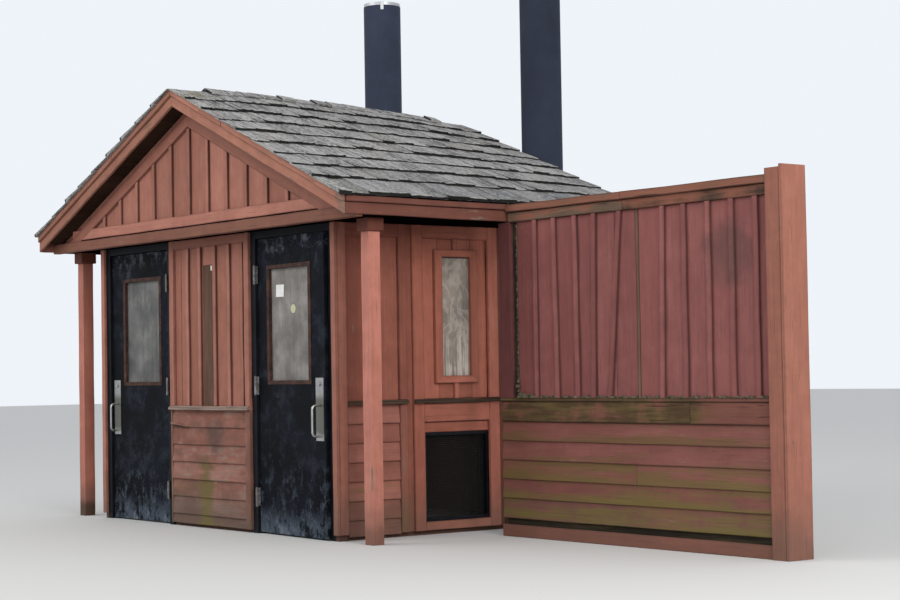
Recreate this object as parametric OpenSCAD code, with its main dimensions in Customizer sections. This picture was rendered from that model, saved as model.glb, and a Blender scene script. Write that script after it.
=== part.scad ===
// A timber outhouse of two compartments under one gabled shake roof, with a boarded
// screen wall running out from under its eave. Millimetres; Z is up, the gable front
// faces -Y, and the origin is the middle of the floor slab at ground level.

/* [Body] */
// Width of the body over its corner boards
body_w = 3290; // [3000:10:4200]
// Depth of the body from front trim to rear trim
body_d = 2040; // [1900:5:2600]
// Height of the walls, from the ground to the soffit
wall_h = 2100; // [1900:5:2600]
// Thickness of the framed wall behind the siding
stud_t = 90; // [70:5:140]
// Thickness of the vertical boards
board_t = 18; // [12:1:25]
// Thickness of the trims and battens on the boards
trim_t = 20; // [12:1:30]
// Width of a batten
batten_w = 42; // [30:1:60]
// Distance between battens
batten_pitch = 195; // [150:5:300]
// Width of a corner board on the sides and of a panel's side trim
corner_w = 90; // [70:5:120]
// Width of a corner board on the front
corner_face = 56; // [40:1:90]
// Width of the front panel's trims
panel_trim = 66; // [50:1:100]
// Height of the siding's foot above the ground
siding_foot = 22; // [10:1:60]
// Thickness of the floor slab
floor_t = 40; // [20:5:45]

/* [Belt and clapboards] */
// Underside of the belt rail on the sides and rear
belt_z = 890; // [780:1:1000]
// How much lower the belt runs on the front panel
front_belt_drop = 38; // [0:1:60]
// Height of the belt rail
belt_h = 30; // [20:1:60]
// How far the belt rail stands out of the trims
belt_out = 22; // [10:1:40]
// Exposed height of one clapboard
clap_h = 127; // [90:1:160]
// Thickness of a clapboard at its butt
clap_butt = 17; // [8:1:19]

/* [Doors] */
// Width of a door leaf
door_w = 900; // [800:1:1000]
// Height of the frame above a leaf
door_head = 56; // [40:1:120]
// Thickness of a door leaf
door_t = 44; // [35:1:60]
// Gap between the leaf and its frame
door_gap = 5; // [5:0.5:8]
// Gap under the leaf
door_sill_gap = 12; // [8:1:20]
// Width of the frame's face
frame_face = 58; // [30:1:70]
// How far the frame's stop covers the leaf
frame_stop = 16; // [10:1:25]
// Setback of the frame behind the trims
frame_setback = 22; // [21:1:30]
// Setback of the leaf behind the trims
door_setback = 40; // [31:1:50]
// Angle at which the right leaf stands ajar
right_ajar = 3; // [0:0.5:10]

/* [Door window] */
// Width of the leaf's glass
glass_w = 530; // [350:5:560]
// Height of the leaf's glass
glass_h = 768; // [500:1:820]
// Distance from the hinge edge to the glass
glass_inset = 160; // [130:1:200]
// Distance from the leaf's top to the glass
glass_drop = 216; // [150:1:260]
// Width of the steel bead round the glass
bead_w = 42; // [20:1:60]
// Height of the bead above the leaf's face
bead_h = 4; // [2:0.5:6]
// Thickness of the glass
glass_t = 6; // [4:0.5:10]

/* [Door hardware] */
// Width of the pull plate
plate_w = 100; // [70:1:120]
// Height of the pull plate
plate_h = 418; // [350:1:450]
// Distance from the free edge to the pull plate
plate_inset = 20; // [12:1:40]
// Height of the plate's foot above the leaf's foot
plate_z = 645; // [600:1:800]
// Diameter of the pull's rod
pull_d = 16; // [12:1:22]
// Length of the pull between its stems
pull_h = 205; // [150:1:260]
// How far the pull stands off the plate
pull_out = 58; // [40:1:80]
// Bend radius of the pull's rod
pull_bend = 28; // [18:1:35]
// Diameter of the lock cylinder
lock_d = 32; // [24:1:40]
// Height of a butt hinge
hinge_h = 125; // [90:1:150]
// Diameter of the hinge knuckle
knuckle_d = 18; // [14:1:22]
// Diameter of the hinge pin
pin_d = 8; // [6:0.5:10]
// Running clearance round the pin and between knuckles
pin_play = 0.3; // [0.2:0.1:0.6]
// Height of the lowest hinge above the ground
hinge_low = 254; // [180:1:350]
// Distance from the leaf's top to the highest hinge
hinge_drop = 247; // [150:1:320]
// Height of the pin's head beyond a hinge
pin_head = 5; // [3:0.5:8]

/* [Side panel and window] */
// Distance from the front trims to the middle of the window panel
panel_mid = 1000; // [900:5:1200]
// Width of the window panel over its side trims
panel_w = 738; // [600:1:900]
// Width of the recess on each side of the window panel
recess_w = 52; // [40:1:100]
// Width of the trim beside that recess
part_trim = 62; // [50:1:90]
// Width of the side window's glass
window_w = 240; // [150:1:350]
// Distance from the soffit down to the side window's glass
window_drop = 213; // [160:1:300]
// Height of the side window's glass above the ground
window_z = 1074; // [1020:1:1200]
// Width of the trims beside the window
window_trim = 65; // [30:1:80]
// Height of the trims above and below it
window_rail = 49; // [30:1:70]
// Thickness of the window and vent liners
liner_t = 20; // [12:1:30]
// Height of the vent opening
vent_h = 560; // [300:5:600]
// Height of the vent opening above the ground
vent_z = 110; // [90:1:200]

/* [Gable] */
// How far the gable wall stands ahead of the front wall
gable_out = 150; // [120:5:250]
// Height of the beam under the gable
beam_h = 76; // [50:1:100]
// Distance between the gable's battens
gable_pitch = 260; // [180:5:350]
// Height of the gable's bottom trim
gable_trim_h = 88; // [60:1:120]
// Dark gap between the roof and the rake trims, measured upright
rake_drop = 174; // [130:1:260]
// Width of the rake trims, measured upright
rake_trim_h = 88; // [60:1:120]

/* [Roof] */
// Rise of the roof in one unit of run
roof_slope = 0.428; // [0.35:0.001:0.6]
// Overhang of the eaves beyond the side walls
eave_out = 513; // [450:1:700]
// Overhang of the bargeboards beyond the gable walls
barge_out = 127; // [90:1:250]
// Thickness of the roof deck
deck_t = 25; // [18:1:40]
// Height of the lower barge and fascia boards
barge_h = 76; // [60:1:110]
// Height of the strip above them
strip_h = 46; // [30:1:60]
// How far the strip stands out of the board below
strip_out = 15; // [8:1:25]
// Thickness of the barge and fascia boards
barge_t = 20; // [15:1:30]
// Run of one course of shakes
course_run = 232; // [180:1:300]
// Run of the course at the eave
eave_course = 300; // [200:5:320]
// Thickness of a shake at its butt
shake_butt = 26; // [15:1:35]
// Thickness of a shake at its head
shake_head = 7; // [4:1:12]
// Overhang of the shakes beyond the eave
shake_eave = 20; // [18:1:60]
// Overhang of the shakes beyond the bargeboards
shake_barge = 33; // [20:1:60]
// Thickness of the boards that cap the ridge
ridge_cap_t = 14; // [8:1:30]
// Reach of those boards down each slope
cap_reach = 110; // [80:5:160]
// How far the old ridge has sunk at the rear
ridge_sag = 98; // [25:1:120]
// How far the old eaves have sunk at the rear
eave_sag = 25; // [0:1:40]
// Shim between the sunken deck and the rear gable
gable_shim = 2; // [1:1:12]

/* [Posts] */
// Side of a square post
post_w = 89; // [70:1:140]
// Clear gap between the body and a post
post_gap = 305; // [200:5:360]
// Side of the block on a post
capital_w = 129; // [110:1:160]
// Height of the block on a post
capital_h = 86; // [60:1:120]

/* [Vent pipes] */
// Outside diameter of a vent pipe
pipe_d = 314; // [200:1:350]
// Wall of a vent pipe
pipe_t = 6; // [4:0.5:12]
// Height of a vent pipe
pipe_h = 4220; // [3600:5:4800]
// Distance from the middle of the body to the left pipe
left_pipe_x = 1308; // [900:1:1400]
// Distance from the middle of the body to the right pipe
right_pipe_x = 786; // [500:1:1400]
// Distance from the rear trims to the pipes' axes
pipe_back = 480; // [480:5:700]
// Height of the screened cap on a pipe
cap_h = 26; // [15:1:60]

/* [Screen wall] */
// Distance from the front trims to the screen's face
screen_y = 1040; // [900:5:1300]
// Gap between the body and the screen's inner end
screen_gap = 425; // [350:5:440]
// Length of the screen up to its end post
screen_len = 2465; // [1500:5:4000]
// Distance from the soffit down to the foot of the screen's fascia
screen_fascia_drop = 10; // [5:1:60]
// Width of the trim at the screen's inner end
screen_trim_w = 120; // [90:1:150]
// Distance from the screen's inner end to its first batten
screen_batten_at = 370; // [150:5:450]
// Distance between the screen's battens
screen_pitch = 200; // [150:5:300]
// Height of the screen's fascia
screen_fascia_h = 65; // [50:1:70]
// Thickness of the screen's cap rail
screen_cap_t = 50; // [25:1:55]
// Overhang of the screen's cap rail
screen_cap_out = 18; // [5:1:40]
// Height of the ground sill
screen_sill_h = 80; // [60:1:120]
// Dark gap over the ground sill
screen_sill_gap = 42; // [8:1:50]
// Width of the end post
end_post_w = 110; // [89:1:160]

/* [Hidden] */
$fn = 48;

// Paint and materials
RED = "#9a5a4a";
RED_DEEP = "#7a4146";
DARK_SOFFIT = "#3a2622";
BLACK = "#23262b";
SHAKE = "#86868a";
WEATHERED = "#6b5f50";
STEEL = "#b4b8bb";
RUST = "#5a3a28";
FROST = "#a9abaa";
CONCRETE = "#a09d96";
PIPE = "#2b3038";

// Body
half_w = body_w / 2;
clad_t = board_t + trim_t;
core_out = half_w - clad_t;
core_in = core_out - stud_t;
wall_t = clad_t + stud_t;
rear_core = body_d - clad_t;
eps = 1;

// Doorways
frame_w = door_w + 2 * (door_gap + frame_face);
frame_x1 = half_w - corner_face;
frame_x0 = frame_x1 - frame_w;
leaf_x0 = frame_x0 + frame_face + door_gap;
leaf_x1 = leaf_x0 + door_w;
leaf_top = wall_h - door_head;
glass_z = leaf_top - glass_drop - glass_h;
hinge_high = leaf_top - hinge_drop;
hinge_z = [hinge_low, (hinge_low + hinge_high) / 2, hinge_high];
leaf_back = door_setback + door_t;
pin_x = leaf_x0 - door_gap / 2;
pin_y = frame_setback - knuckle_d / 2;
hinge_leaf_t = (door_gap - 1) / 2;

// Side panels
panel_y0 = panel_mid - panel_w / 2;
panel_y1 = panel_mid + panel_w / 2;
recess_y0 = panel_y0 - recess_w;
recess_y1 = panel_y1 + recess_w;
window_h = wall_h - window_drop - window_z;

// Roof
eave_x = half_w + eave_out;
fascia_in = eave_x - barge_t;
soffit_t = 16;
soffit_top = wall_h + soffit_t;
eave_z = wall_h + 9 + barge_h + strip_h;
ridge_z = eave_z + roof_slope * eave_x;
gable_y = -gable_out;
gable_core_y = gable_y + clad_t;
rear_gable_y = body_d + gable_out;
rear_gable_core_y = rear_gable_y - clad_t;
barge_y = gable_y - barge_out;
rear_barge_y = rear_gable_y + barge_out;
roof_cuts = concat([barge_y - shake_barge, barge_y + barge_t],
    [for (i = [0 : 6]) i * body_d / 6], [rear_barge_y - barge_t, rear_barge_y, rear_barge_y + shake_barge]);
beam_z = wall_h - 6;
beam_t = 53;
shake_x = eave_x + shake_eave;
courses = floor((shake_x - eave_course - 60) / course_run) + 1;

// Posts
post_x = half_w + post_gap;
capital_side = (capital_w - post_w) / 2;

// Pipes
pipe_y = body_d + pipe_back;
bracket_h = 30;
bracket_t = 6;

// Screen
screen_x0 = half_w + screen_gap;
screen_x1 = screen_x0 + screen_len;
screen_front = screen_y;
screen_core_y0 = screen_y + clad_t;
screen_core_y1 = screen_core_y0 + stud_t;
screen_back = screen_core_y1 + clad_t;
screen_fascia_z = wall_h - screen_fascia_drop;
screen_top = screen_fascia_z + screen_fascia_h;
screen_fascia_x0 = eave_x + strip_out;

// How far the roof has sunk at a distance behind the front trims, from 0 to 1 at the rear
function sunk(y) = pow(max(0, min(1, y / rear_barge_y)), 1.6);

// Drop of the roof at a place on it
function sag(x, y) = sunk(y) * (ridge_sag - (ridge_sag - eave_sag) * abs(x) / eave_x);

// Height of the roof's ridge, and the slope of its sides, at a station
function ridge_at(y) = ridge_z - sag(0, y);
function slope_at(y) = roof_slope - (sag(0, y) - sag(eave_x, y)) / eave_x;

// Height of the unsunken deck's upper face
function deck_z(x) = ridge_z - roof_slope * abs(x);

// Height of the shakes on the course at the ridge
function top_course(x) = shake_head + (shake_butt - shake_head) * x
    / (shake_x - eave_course - (courses - 1) * course_run);

// Everything is drawn from the front trims back, then centred on the floor slab
module set_out() {
    translate([0, -body_d / 2, 0]) children();
}

// A box between two opposite corners
module span(a, b) {
    translate(a) cube(b - a);
}

module both_sides() {
    children();
    mirror([1, 0, 0]) children();
}

// Wall faces: in each, X runs along the wall, -Y points outwards and the trims' face is y = 0
module on_front() {
    children();
}

module on_right() {
    translate([half_w, 0, 0]) rotate([0, 0, 90]) children();
}

module on_rear() {
    translate([0, body_d, 0]) mirror([0, 1, 0]) children();
}

// A flat trim on the boards
module trim(u0, u1, z0, z1) {
    span([u0, 0, z0], [u1, trim_t, z1]);
}

// A sheet of vertical boards on the framing
module boards(u0, u1, z0, z1) {
    span([u0, trim_t, z0], [u1, clad_t, z1]);
}

// Battens at an even pitch, centred between two edges
module battens(u0, u1, z0, z1, pitch) {
    count = max(0, round((u1 - u0) / pitch) - 1);
    step = (u1 - u0) / (count + 1);
    for (i = [1 : 1 : count])
        translate([u0 + i * step - batten_w / 2, 2, z0]) cube([batten_w, trim_t - 2, z1 - z0]);
}

// Lapped clapboards spaced from a top down to a foot, as one sawtooth profile drawn along the wall
module clapboards(u0, u1, z0, z1) {
    count = max(1, round((z1 - z0) / clap_h));
    butts = concat([z0], [for (i = [count - 1 : -1 : 0]) z1 - i * clap_h]);
    outline = concat([[trim_t, z0]],
        [for (i = [0 : count - 1]) each [[trim_t - clap_butt, butts[i]], [trim_t - 5, butts[i + 1]]]],
        [[trim_t, z1]]);
    translate([u0, 0, 0]) rotate([90, 0, 90]) linear_extrude(u1 - u0) polygon(outline);
}

// Sloping drip rail
module belt(u0, u1, z) {
    translate([u0, 0, 0]) rotate([90, 0, 90]) linear_extrude(u1 - u0)
        polygon([[0, z], [-belt_out, z], [-belt_out, z + belt_h * 0.6], [0, z + belt_h]]);
}

// A profile in X and Z swept back along the sunken roof. Each side between two cuts is split from
// its inner front corner to its outer rear one, so that layers that lie on each other fit
module roof_sweep(profile, y0, y1) {
    n = len(profile);
    ys = [for (y = roof_cuts) if (y >= y0 && y <= y1) y];
    m = len(ys);
    points = [for (y = ys) for (p = profile) [p[0], y, p[1] - sag(p[0], y)]];
    sides = [for (j = [0 : m - 2]) for (i = [0 : n - 1])
        let (k = (i + 1) % n, a = j * n + i, b = j * n + k)
        each abs(profile[i][0]) < abs(profile[k][0])
            ? [[a, b, b + n], [a, b + n, a + n]] : [[a, b, a + n], [b, b + n, a + n]]];
    polyhedron(points, concat([[for (i = [n - 1 : -1 : 0]) i]], sides,
        [[for (i = [0 : n - 1]) (m - 1) * n + i]]));
}

// Body

module floor_slab() {
    color(CONCRETE) set_out() {
        span([-core_in, wall_t, 0], [core_in, rear_core - stud_t, floor_t]);
        both_sides()
            span([leaf_x0 - door_gap + frame_stop, leaf_back + 11, 0],
                 [leaf_x1 + door_gap - frame_stop, wall_t, floor_t]);
    }
}

module front_panel_wall() {
    color(RED) set_out()
        span([-frame_x0, clad_t, 0], [frame_x0, wall_t, wall_h]);
}

module front_panel_siding() {
    belt_low = belt_z - front_belt_drop;
    edge = frame_x0 - panel_trim;
    color(RED) set_out() on_front() {
        boards(-frame_x0, frame_x0, siding_foot, wall_h);
        trim(-frame_x0, -edge, belt_low + belt_h, wall_h);
        trim(edge, frame_x0, belt_low + belt_h, wall_h);
        trim(-edge, edge, wall_h - panel_trim, wall_h);
        battens(-edge, edge, belt_low + belt_h, wall_h - panel_trim, batten_pitch);
        trim(-frame_x0, frame_x0, belt_low, belt_low + belt_h);
        trim(edge, frame_x0, siding_foot, belt_low);
        clapboards(-frame_x0 + batten_w, edge, siding_foot, belt_low);
    }
}

// Side wall with its window and vent cut through, and the stud behind the front corner
module side_wall() {
    difference() {
        union() {
            span([core_in, wall_t, 0], [core_out, rear_core, wall_h]);
            span([frame_x1, trim_t, 0], [half_w - trim_t, corner_w, wall_h]);
            span([frame_x1, corner_w, 0], [core_out, wall_t + eps, wall_h]);
        }
        on_right() window_opening(liner_t, liner_t, clad_t - eps, wall_t + eps);
        on_right() vent_opening(0, clad_t - eps, wall_t + eps);
    }
}

module side_walls() {
    color(RED) set_out() both_sides() side_wall();
}

module rear_wall() {
    color(RED) set_out()
        span([-core_in, rear_core - stud_t, 0], [core_in, rear_core, wall_h]);
}

// A side wall's siding from a corner to the middle of the window panel
module side_siding_part(mid) {
    belt_top = belt_z + belt_h;
    frieze = wall_h - corner_w;
    panel = mid - panel_w / 2;
    edge = panel - recess_w;
    trim(edge - part_trim, edge, siding_foot, belt_z);
    trim(edge - part_trim, edge, belt_top, wall_h);
    trim(corner_w, edge - part_trim, frieze, wall_h);
    battens(corner_w, edge - part_trim, belt_top, frieze, batten_pitch);
    trim(corner_w, edge, belt_z, belt_top);
    clapboards(corner_w, edge - part_trim, siding_foot, belt_z);
    trim(panel, panel + corner_w, siding_foot, wall_h);
    trim(panel + corner_w, mid, belt_z - clap_h, belt_top);
    trim(panel + corner_w, mid, frieze, wall_h);
    trim(panel + corner_w, mid, siding_foot, vent_z - liner_t);
}

module side_siding_face() {
    difference() {
        boards(corner_w, body_d - trim_t, siding_foot, wall_h);
        window_opening(liner_t, liner_t, 0, wall_t);
        vent_opening(0, 0, wall_t);
    }
    side_siding_part(panel_mid);
    translate([body_d, 0, 0]) mirror([1, 0, 0]) side_siding_part(body_d - panel_mid);
    for (z = [[belt_z + belt_h, window_z - window_rail],
              [window_z + window_h + window_rail, wall_h - corner_w]])
        trim(panel_mid - batten_w / 2, panel_mid + batten_w / 2, z[0], z[1]);
}

module side_siding() {
    color(RED) set_out() both_sides() on_right() side_siding_face();
}

module rear_siding() {
    belt_top = belt_z + belt_h;
    edge = half_w - corner_w;
    color(RED) set_out() on_rear() {
        boards(-core_out, core_out, siding_foot, wall_h);
        trim(-edge, edge, wall_h - corner_w, wall_h);
        battens(-edge, edge, belt_top, wall_h - corner_w, batten_pitch);
        trim(-edge, edge, belt_z, belt_top);
        clapboards(-edge, edge, siding_foot, belt_z);
    }
}

module belt_rails() {
    color(WEATHERED) set_out() {
        on_front() belt(-frame_x0 + door_gap, frame_x0 - door_gap, belt_z - front_belt_drop);
        on_rear() belt(-half_w, half_w, belt_z);
        both_sides() on_right() {
            belt(corner_w, recess_y0, belt_z);
            belt(panel_y0, panel_y1, belt_z);
            belt(recess_y1, body_d - corner_w, belt_z);
        }
    }
}

module corner_boards() {
    color(RED) set_out() both_sides() {
        span([frame_x1, 0, siding_foot], [half_w, trim_t, wall_h]);
        span([half_w - trim_t, trim_t, siding_foot], [half_w, corner_w, wall_h]);
        span([half_w - corner_w, body_d - trim_t, siding_foot], [half_w, body_d, wall_h]);
        span([half_w - trim_t, body_d - corner_w, siding_foot], [half_w, body_d - trim_t, wall_h]);
    }
}

module soffit_and_ceiling() {
    color(DARK_SOFFIT) set_out()
        span([-fascia_in, gable_core_y, wall_h], [fascia_in, rear_gable_core_y, soffit_top]);
}

// Gables

module beam() {
    span([-fascia_in, gable_core_y - beam_t, beam_z], [fascia_in, gable_core_y, beam_z + beam_h]);
}

// Draws a rear copy of something made for the front
module at_rear() {
    translate([0, body_d, 0]) mirror([0, 1, 0]) children();
}

module gable_beams() {
    color(RED) set_out() {
        beam();
        at_rear() beam();
    }
}

// Upright triangle from a base line to a drop below the roof, as the roof lies at a station
module gable_triangle(base, drop, y0, y1, station) {
    slope = slope_at(station);
    top = ridge_at(station) - drop - gable_shim * sunk(station);
    half = min(fascia_in, (top - base) / slope);
    foot = max(base, top - slope * half);
    outline = foot > base + eps
        ? [[-half, base], [half, base], [half, foot], [0, top], [-half, foot]]
        : [[-half, base], [half, base], [0, top]];
    translate([0, y1, 0]) rotate([90, 0, 0]) linear_extrude(y1 - y0) polygon(outline);
}

module gable_wall(station) {
    gable_triangle(soffit_top, deck_t, gable_core_y, gable_core_y + stud_t, station);
}

module gable_walls() {
    color(DARK_SOFFIT) set_out() {
        gable_wall(gable_y);
        at_rear() gable_wall(rear_gable_y);
    }
}

// Boards, rake trims, battens and bottom trim of a gable, as seen from the front
module gable_face(station) {
    base = beam_z + beam_h;
    low = base + gable_trim_h;
    inner_drop = rake_drop + rake_trim_h;
    y1 = gable_y + trim_t;
    gable_triangle(base, deck_t + 2, y1, gable_core_y, station);
    difference() {
        gable_triangle(base, rake_drop, gable_y, y1, station);
        gable_triangle(low, inner_drop, gable_y - eps, y1 + eps, station);
    }
    intersection() {
        for (i = [-floor(eave_x / gable_pitch) : floor(eave_x / gable_pitch)])
            span([i * gable_pitch - batten_w / 2, gable_y + 2, low],
                 [i * gable_pitch + batten_w / 2, y1, ridge_z]);
        gable_triangle(low, inner_drop, gable_y, y1, station);
    }
}

module gable_siding() {
    color(RED) set_out() {
        gable_face(gable_y);
        at_rear() gable_face(rear_gable_y);
    }
}

// Roof

// One sloping board under the roof line, from the ridge down to a reach on each side
module rake_board(top_drop, height, y0, y1, station, reach = eave_x) {
    z = ridge_at(station) - top_drop;
    foot = z - slope_at(station) * reach;
    translate([0, y1, 0]) rotate([90, 0, 0]) linear_extrude(y1 - y0)
        polygon([[-reach, foot], [0, z], [reach, foot],
                 [reach, foot - height], [0, z - height], [-reach, foot - height]]);
}

module barge_pair(station) {
    rake_board(0, strip_h, barge_y - strip_out, barge_y + barge_t, station);
    rake_board(strip_h, barge_h, barge_y, barge_y + barge_t, station);
}

// Boards that close the overhang of a gable, flush with the barge's foot and down to the beam
module rake_soffit(station) {
    foot = strip_h + barge_h;
    reach = (ridge_at(station) - foot - beam_z - beam_h) / slope_at(station);
    rake_board(foot - soffit_t, soffit_t, barge_y + barge_t, gable_y + trim_t, station, reach);
}

module rake_soffits() {
    color(DARK_SOFFIT) set_out() {
        rake_soffit(barge_y);
        at_rear() rake_soffit(rear_barge_y);
    }
}

module bargeboards() {
    color(RED) set_out() {
        barge_pair(barge_y);
        at_rear() barge_pair(rear_barge_y);
    }
}

// Fascia board and strip of the right eave, drawn from the eave's edge and tilted with it
module eave_fascia() {
    y0 = barge_y + barge_t;
    y1 = rear_barge_y - barge_t;
    foot = -strip_h - barge_h;
    translate([eave_x, y1, eave_z]) rotate([90 - atan(sag(eave_x, y1) / (y1 - y0)), 0, 0])
        translate([0, -sag(eave_x, y1), 1]) linear_extrude(y1 - y0 - 3)
            polygon([[-barge_t, foot], [0, foot], [0, -strip_h], [strip_out, -strip_h],
                     [strip_out, -roof_slope * strip_out - 1], [0, -1], [0, -deck_t - 1],
                     [-barge_t, -deck_t - 1]]);
}

module eave_fascias() {
    color(RED) set_out() both_sides() eave_fascia();
}

module roof_deck() {
    in_z = ridge_z - deck_t;
    out_z = eave_z - deck_t;
    roof_sweep([[0, ridge_z], [eave_x, eave_z], [eave_x, out_z],
                [fascia_in, out_z], [fascia_in, out_z + roof_slope * barge_t], [0, in_z]],
               barge_y + barge_t, rear_barge_y - barge_t);
}

module right_roof_deck() {
    color(DARK_SOFFIT) set_out() roof_deck();
}

module left_roof_deck() {
    color(DARK_SOFFIT) set_out() mirror([1, 0, 0]) roof_deck();
}

// Stepped courses of shakes: each butt stands proud of the course below it
module shake_slope() {
    butts = concat([shake_x], [for (i = [0 : courses - 1]) shake_x - eave_course - i * course_run], [0]);
    upper = [for (i = [courses : -1 : 0])
        each [[butts[i + 1], deck_z(butts[i + 1]) + shake_head],
              if (i == courses) [cap_reach, deck_z(cap_reach) + top_course(cap_reach)],
              [butts[i], deck_z(butts[i]) + shake_butt]]];
    roof_sweep(concat([[0, ridge_z]], upper, [[shake_x, deck_z(shake_x)], [eave_x, eave_z]]),
               barge_y - shake_barge, rear_barge_y + shake_barge);
}

module right_shakes() {
    color(SHAKE) set_out() shake_slope();
}

module left_shakes() {
    color(SHAKE) set_out() mirror([1, 0, 0]) shake_slope();
}

module ridge_cap() {
    foot = deck_z(cap_reach) + top_course(cap_reach);
    top = ridge_z + shake_head;
    color(SHAKE) set_out()
        roof_sweep([[0, top + ridge_cap_t], [cap_reach, foot + ridge_cap_t], [cap_reach, foot], [0, top],
                    [-cap_reach, foot], [-cap_reach, foot + ridge_cap_t]], 0, body_d);
}

// Posts

module post_pair() {
    both_sides() {
        translate([post_x, 0, 0]) cube([post_w, post_w, wall_h - capital_h]);
        translate([post_x - capital_side, -capital_side, wall_h - capital_h])
            cube([capital_w, capital_w, capital_h]);
    }
}

module roof_posts() {
    color(RED) set_out() {
        post_pair();
        at_rear() post_pair();
    }
}

// Doors

// Draws a right-hand thing on the left as well
module on_door(side) {
    if (side == "left") mirror([1, 0, 0]) children();
    else children();
}

// Swings the right leaf to where it stands ajar
module hang(side) {
    turn = side == "right" ? -right_ajar : 0;
    on_door(side) translate([pin_x, pin_y, 0]) rotate([0, 0, turn]) translate([-pin_x, -pin_y, 0]) children();
}

module door_frame() {
    head_z = leaf_top + door_gap;
    stop_y = leaf_back + door_gap;
    difference() {
        span([frame_x0, frame_setback, 0], [frame_x1, wall_t, wall_h]);
        span([frame_x0 + frame_face, 0, -eps], [frame_x1 - frame_face, stop_y, head_z]);
        span([frame_x0 + frame_face + frame_stop, 0, -eps],
             [frame_x1 - frame_face - frame_stop, wall_t + eps, head_z - frame_stop]);
    }
}

module left_door_frame() {
    color(BLACK) set_out() on_door("left") door_frame();
}

module right_door_frame() {
    color(BLACK) set_out() on_door("right") door_frame();
}

// The leaf's window hole is the glass and half of its bead on each side
module window_hole(grow, y0, y1) {
    x0 = leaf_x0 + glass_inset;
    z0 = glass_z;
    span([x0 - grow, y0, z0 - grow], [x0 + glass_w + grow, y1, z0 + glass_h + grow]);
}

module door_leaf() {
    difference() {
        span([leaf_x0, door_setback, door_sill_gap], [leaf_x1, leaf_back, leaf_top]);
        window_hole(bead_w / 2, door_setback - eps, leaf_back + eps);
    }
}

module left_door_leaf() {
    color(BLACK) set_out() hang("left") door_leaf();
}

module right_door_leaf() {
    color(BLACK) set_out() hang("right") door_leaf();
}

module window_bead() {
    difference() {
        union() {
            window_hole(bead_w / 2, door_setback, leaf_back);
            window_hole(bead_w, door_setback - bead_h, door_setback);
            window_hole(bead_w, leaf_back, leaf_back + bead_h);
        }
        window_hole(0, door_setback - bead_h - eps, leaf_back + bead_h + eps);
    }
}

module left_door_window_bead() {
    color(RUST) set_out() hang("left") window_bead();
}

module right_door_window_bead() {
    color(RUST) set_out() hang("right") window_bead();
}

module door_glass() {
    mid = door_setback + door_t / 2;
    window_hole(0, mid - glass_t / 2, mid + glass_t / 2);
}

module left_door_glass() {
    color(FROST) set_out() hang("left") door_glass();
}

module right_door_glass() {
    color(FROST) set_out() hang("right") door_glass();
}

// Pull plate, lock cylinder and a bent rod whose stems turn out of the plate
module door_pull() {
    plate_t = 3;
    x1 = leaf_x1 - plate_inset;
    z0 = door_sill_gap + plate_z;
    face = door_setback - plate_t;
    rod_x = x1 - plate_w / 2;
    rod_z = z0 + 30;
    span([x1 - plate_w, face, z0], [x1, door_setback, z0 + plate_h]);
    translate([rod_x, face, z0 + plate_h - 40]) rotate([90, 0, 0]) cylinder(d = lock_d, h = 9);
    translate([rod_x, face, rod_z]) {
        for (end = [0, 1]) translate([0, 0, end * pull_h]) mirror([0, 0, end]) {
            rotate([90, 0, 0]) cylinder(d = pull_d, h = pull_out - pull_bend);
            translate([0, -pull_out + pull_bend, pull_bend]) rotate([0, 90, 0])
                rotate_extrude(angle = -90) translate([pull_bend, 0]) rotate(0) circle(d = pull_d);
        }
        translate([0, -pull_out, pull_bend]) cylinder(d = pull_d, h = pull_h - 2 * pull_bend);
    }
}

module left_door_pull() {
    color(STEEL) set_out() hang("left") door_pull();
}

module right_door_pull() {
    color(STEEL) set_out() hang("right") door_pull();
}

// Five knuckles a hinge: 0, 2 and 4 belong to the frame, 1 and 3 to the leaf
module knuckles(which) {
    one = hinge_h / 5;
    for (i = which)
        translate([pin_x, pin_y, i * one + pin_play]) difference() {
            cylinder(d = knuckle_d, h = one - 2 * pin_play);
            translate([0, 0, -eps]) cylinder(d = pin_d + 2 * pin_play, h = one + 2 * eps);
        }
}

module frame_hinge_set() {
    inner = frame_x0 + frame_face;
    one = hinge_h / 5;
    for (z = hinge_z) translate([0, 0, z - hinge_h / 2]) {
        knuckles([0, 2, 4]);
        translate([pin_x, pin_y, -pin_head]) cylinder(d = pin_d, h = hinge_h + pin_head);
        translate([pin_x, pin_y, -pin_head]) cylinder(d = pin_d + 5, h = pin_head + pin_play);
        translate([pin_x, pin_y, hinge_h - pin_play]) cylinder(d = pin_d + 5, h = pin_head);
        for (i = [0, 2, 4])
            span([inner, pin_y + pin_d / 2 + 1, i * one + pin_play],
                 [inner + hinge_leaf_t, frame_setback, (i + 1) * one - pin_play]);
        span([inner, frame_setback, pin_play],
             [inner + hinge_leaf_t, leaf_back - 4, hinge_h - pin_play]);
    }
}

module frame_hinges() {
    color(STEEL) set_out() both_sides() frame_hinge_set();
}

module leaf_hinge_set() {
    one = hinge_h / 5;
    for (z = hinge_z) translate([0, 0, z - hinge_h / 2]) {
        knuckles([1, 3]);
        for (i = [1, 3])
            span([leaf_x0 - hinge_leaf_t, pin_y + pin_d / 2 + 1, i * one + pin_play],
                 [leaf_x0, door_setback, (i + 1) * one - pin_play]);
        span([leaf_x0 - hinge_leaf_t, door_setback, pin_play],
             [leaf_x0, leaf_back - 4, hinge_h - pin_play]);
    }
}

module left_leaf_hinges() {
    color(STEEL) set_out() hang("left") leaf_hinge_set();
}

module right_leaf_hinges() {
    color(STEEL) set_out() hang("right") leaf_hinge_set();
}

// Side windows and vents

module window_opening(side, rail, y0, y1) {
    span([panel_mid - window_w / 2 - side, y0, window_z - rail],
         [panel_mid + window_w / 2 + side, y1, window_z + window_h + rail]);
}

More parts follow.
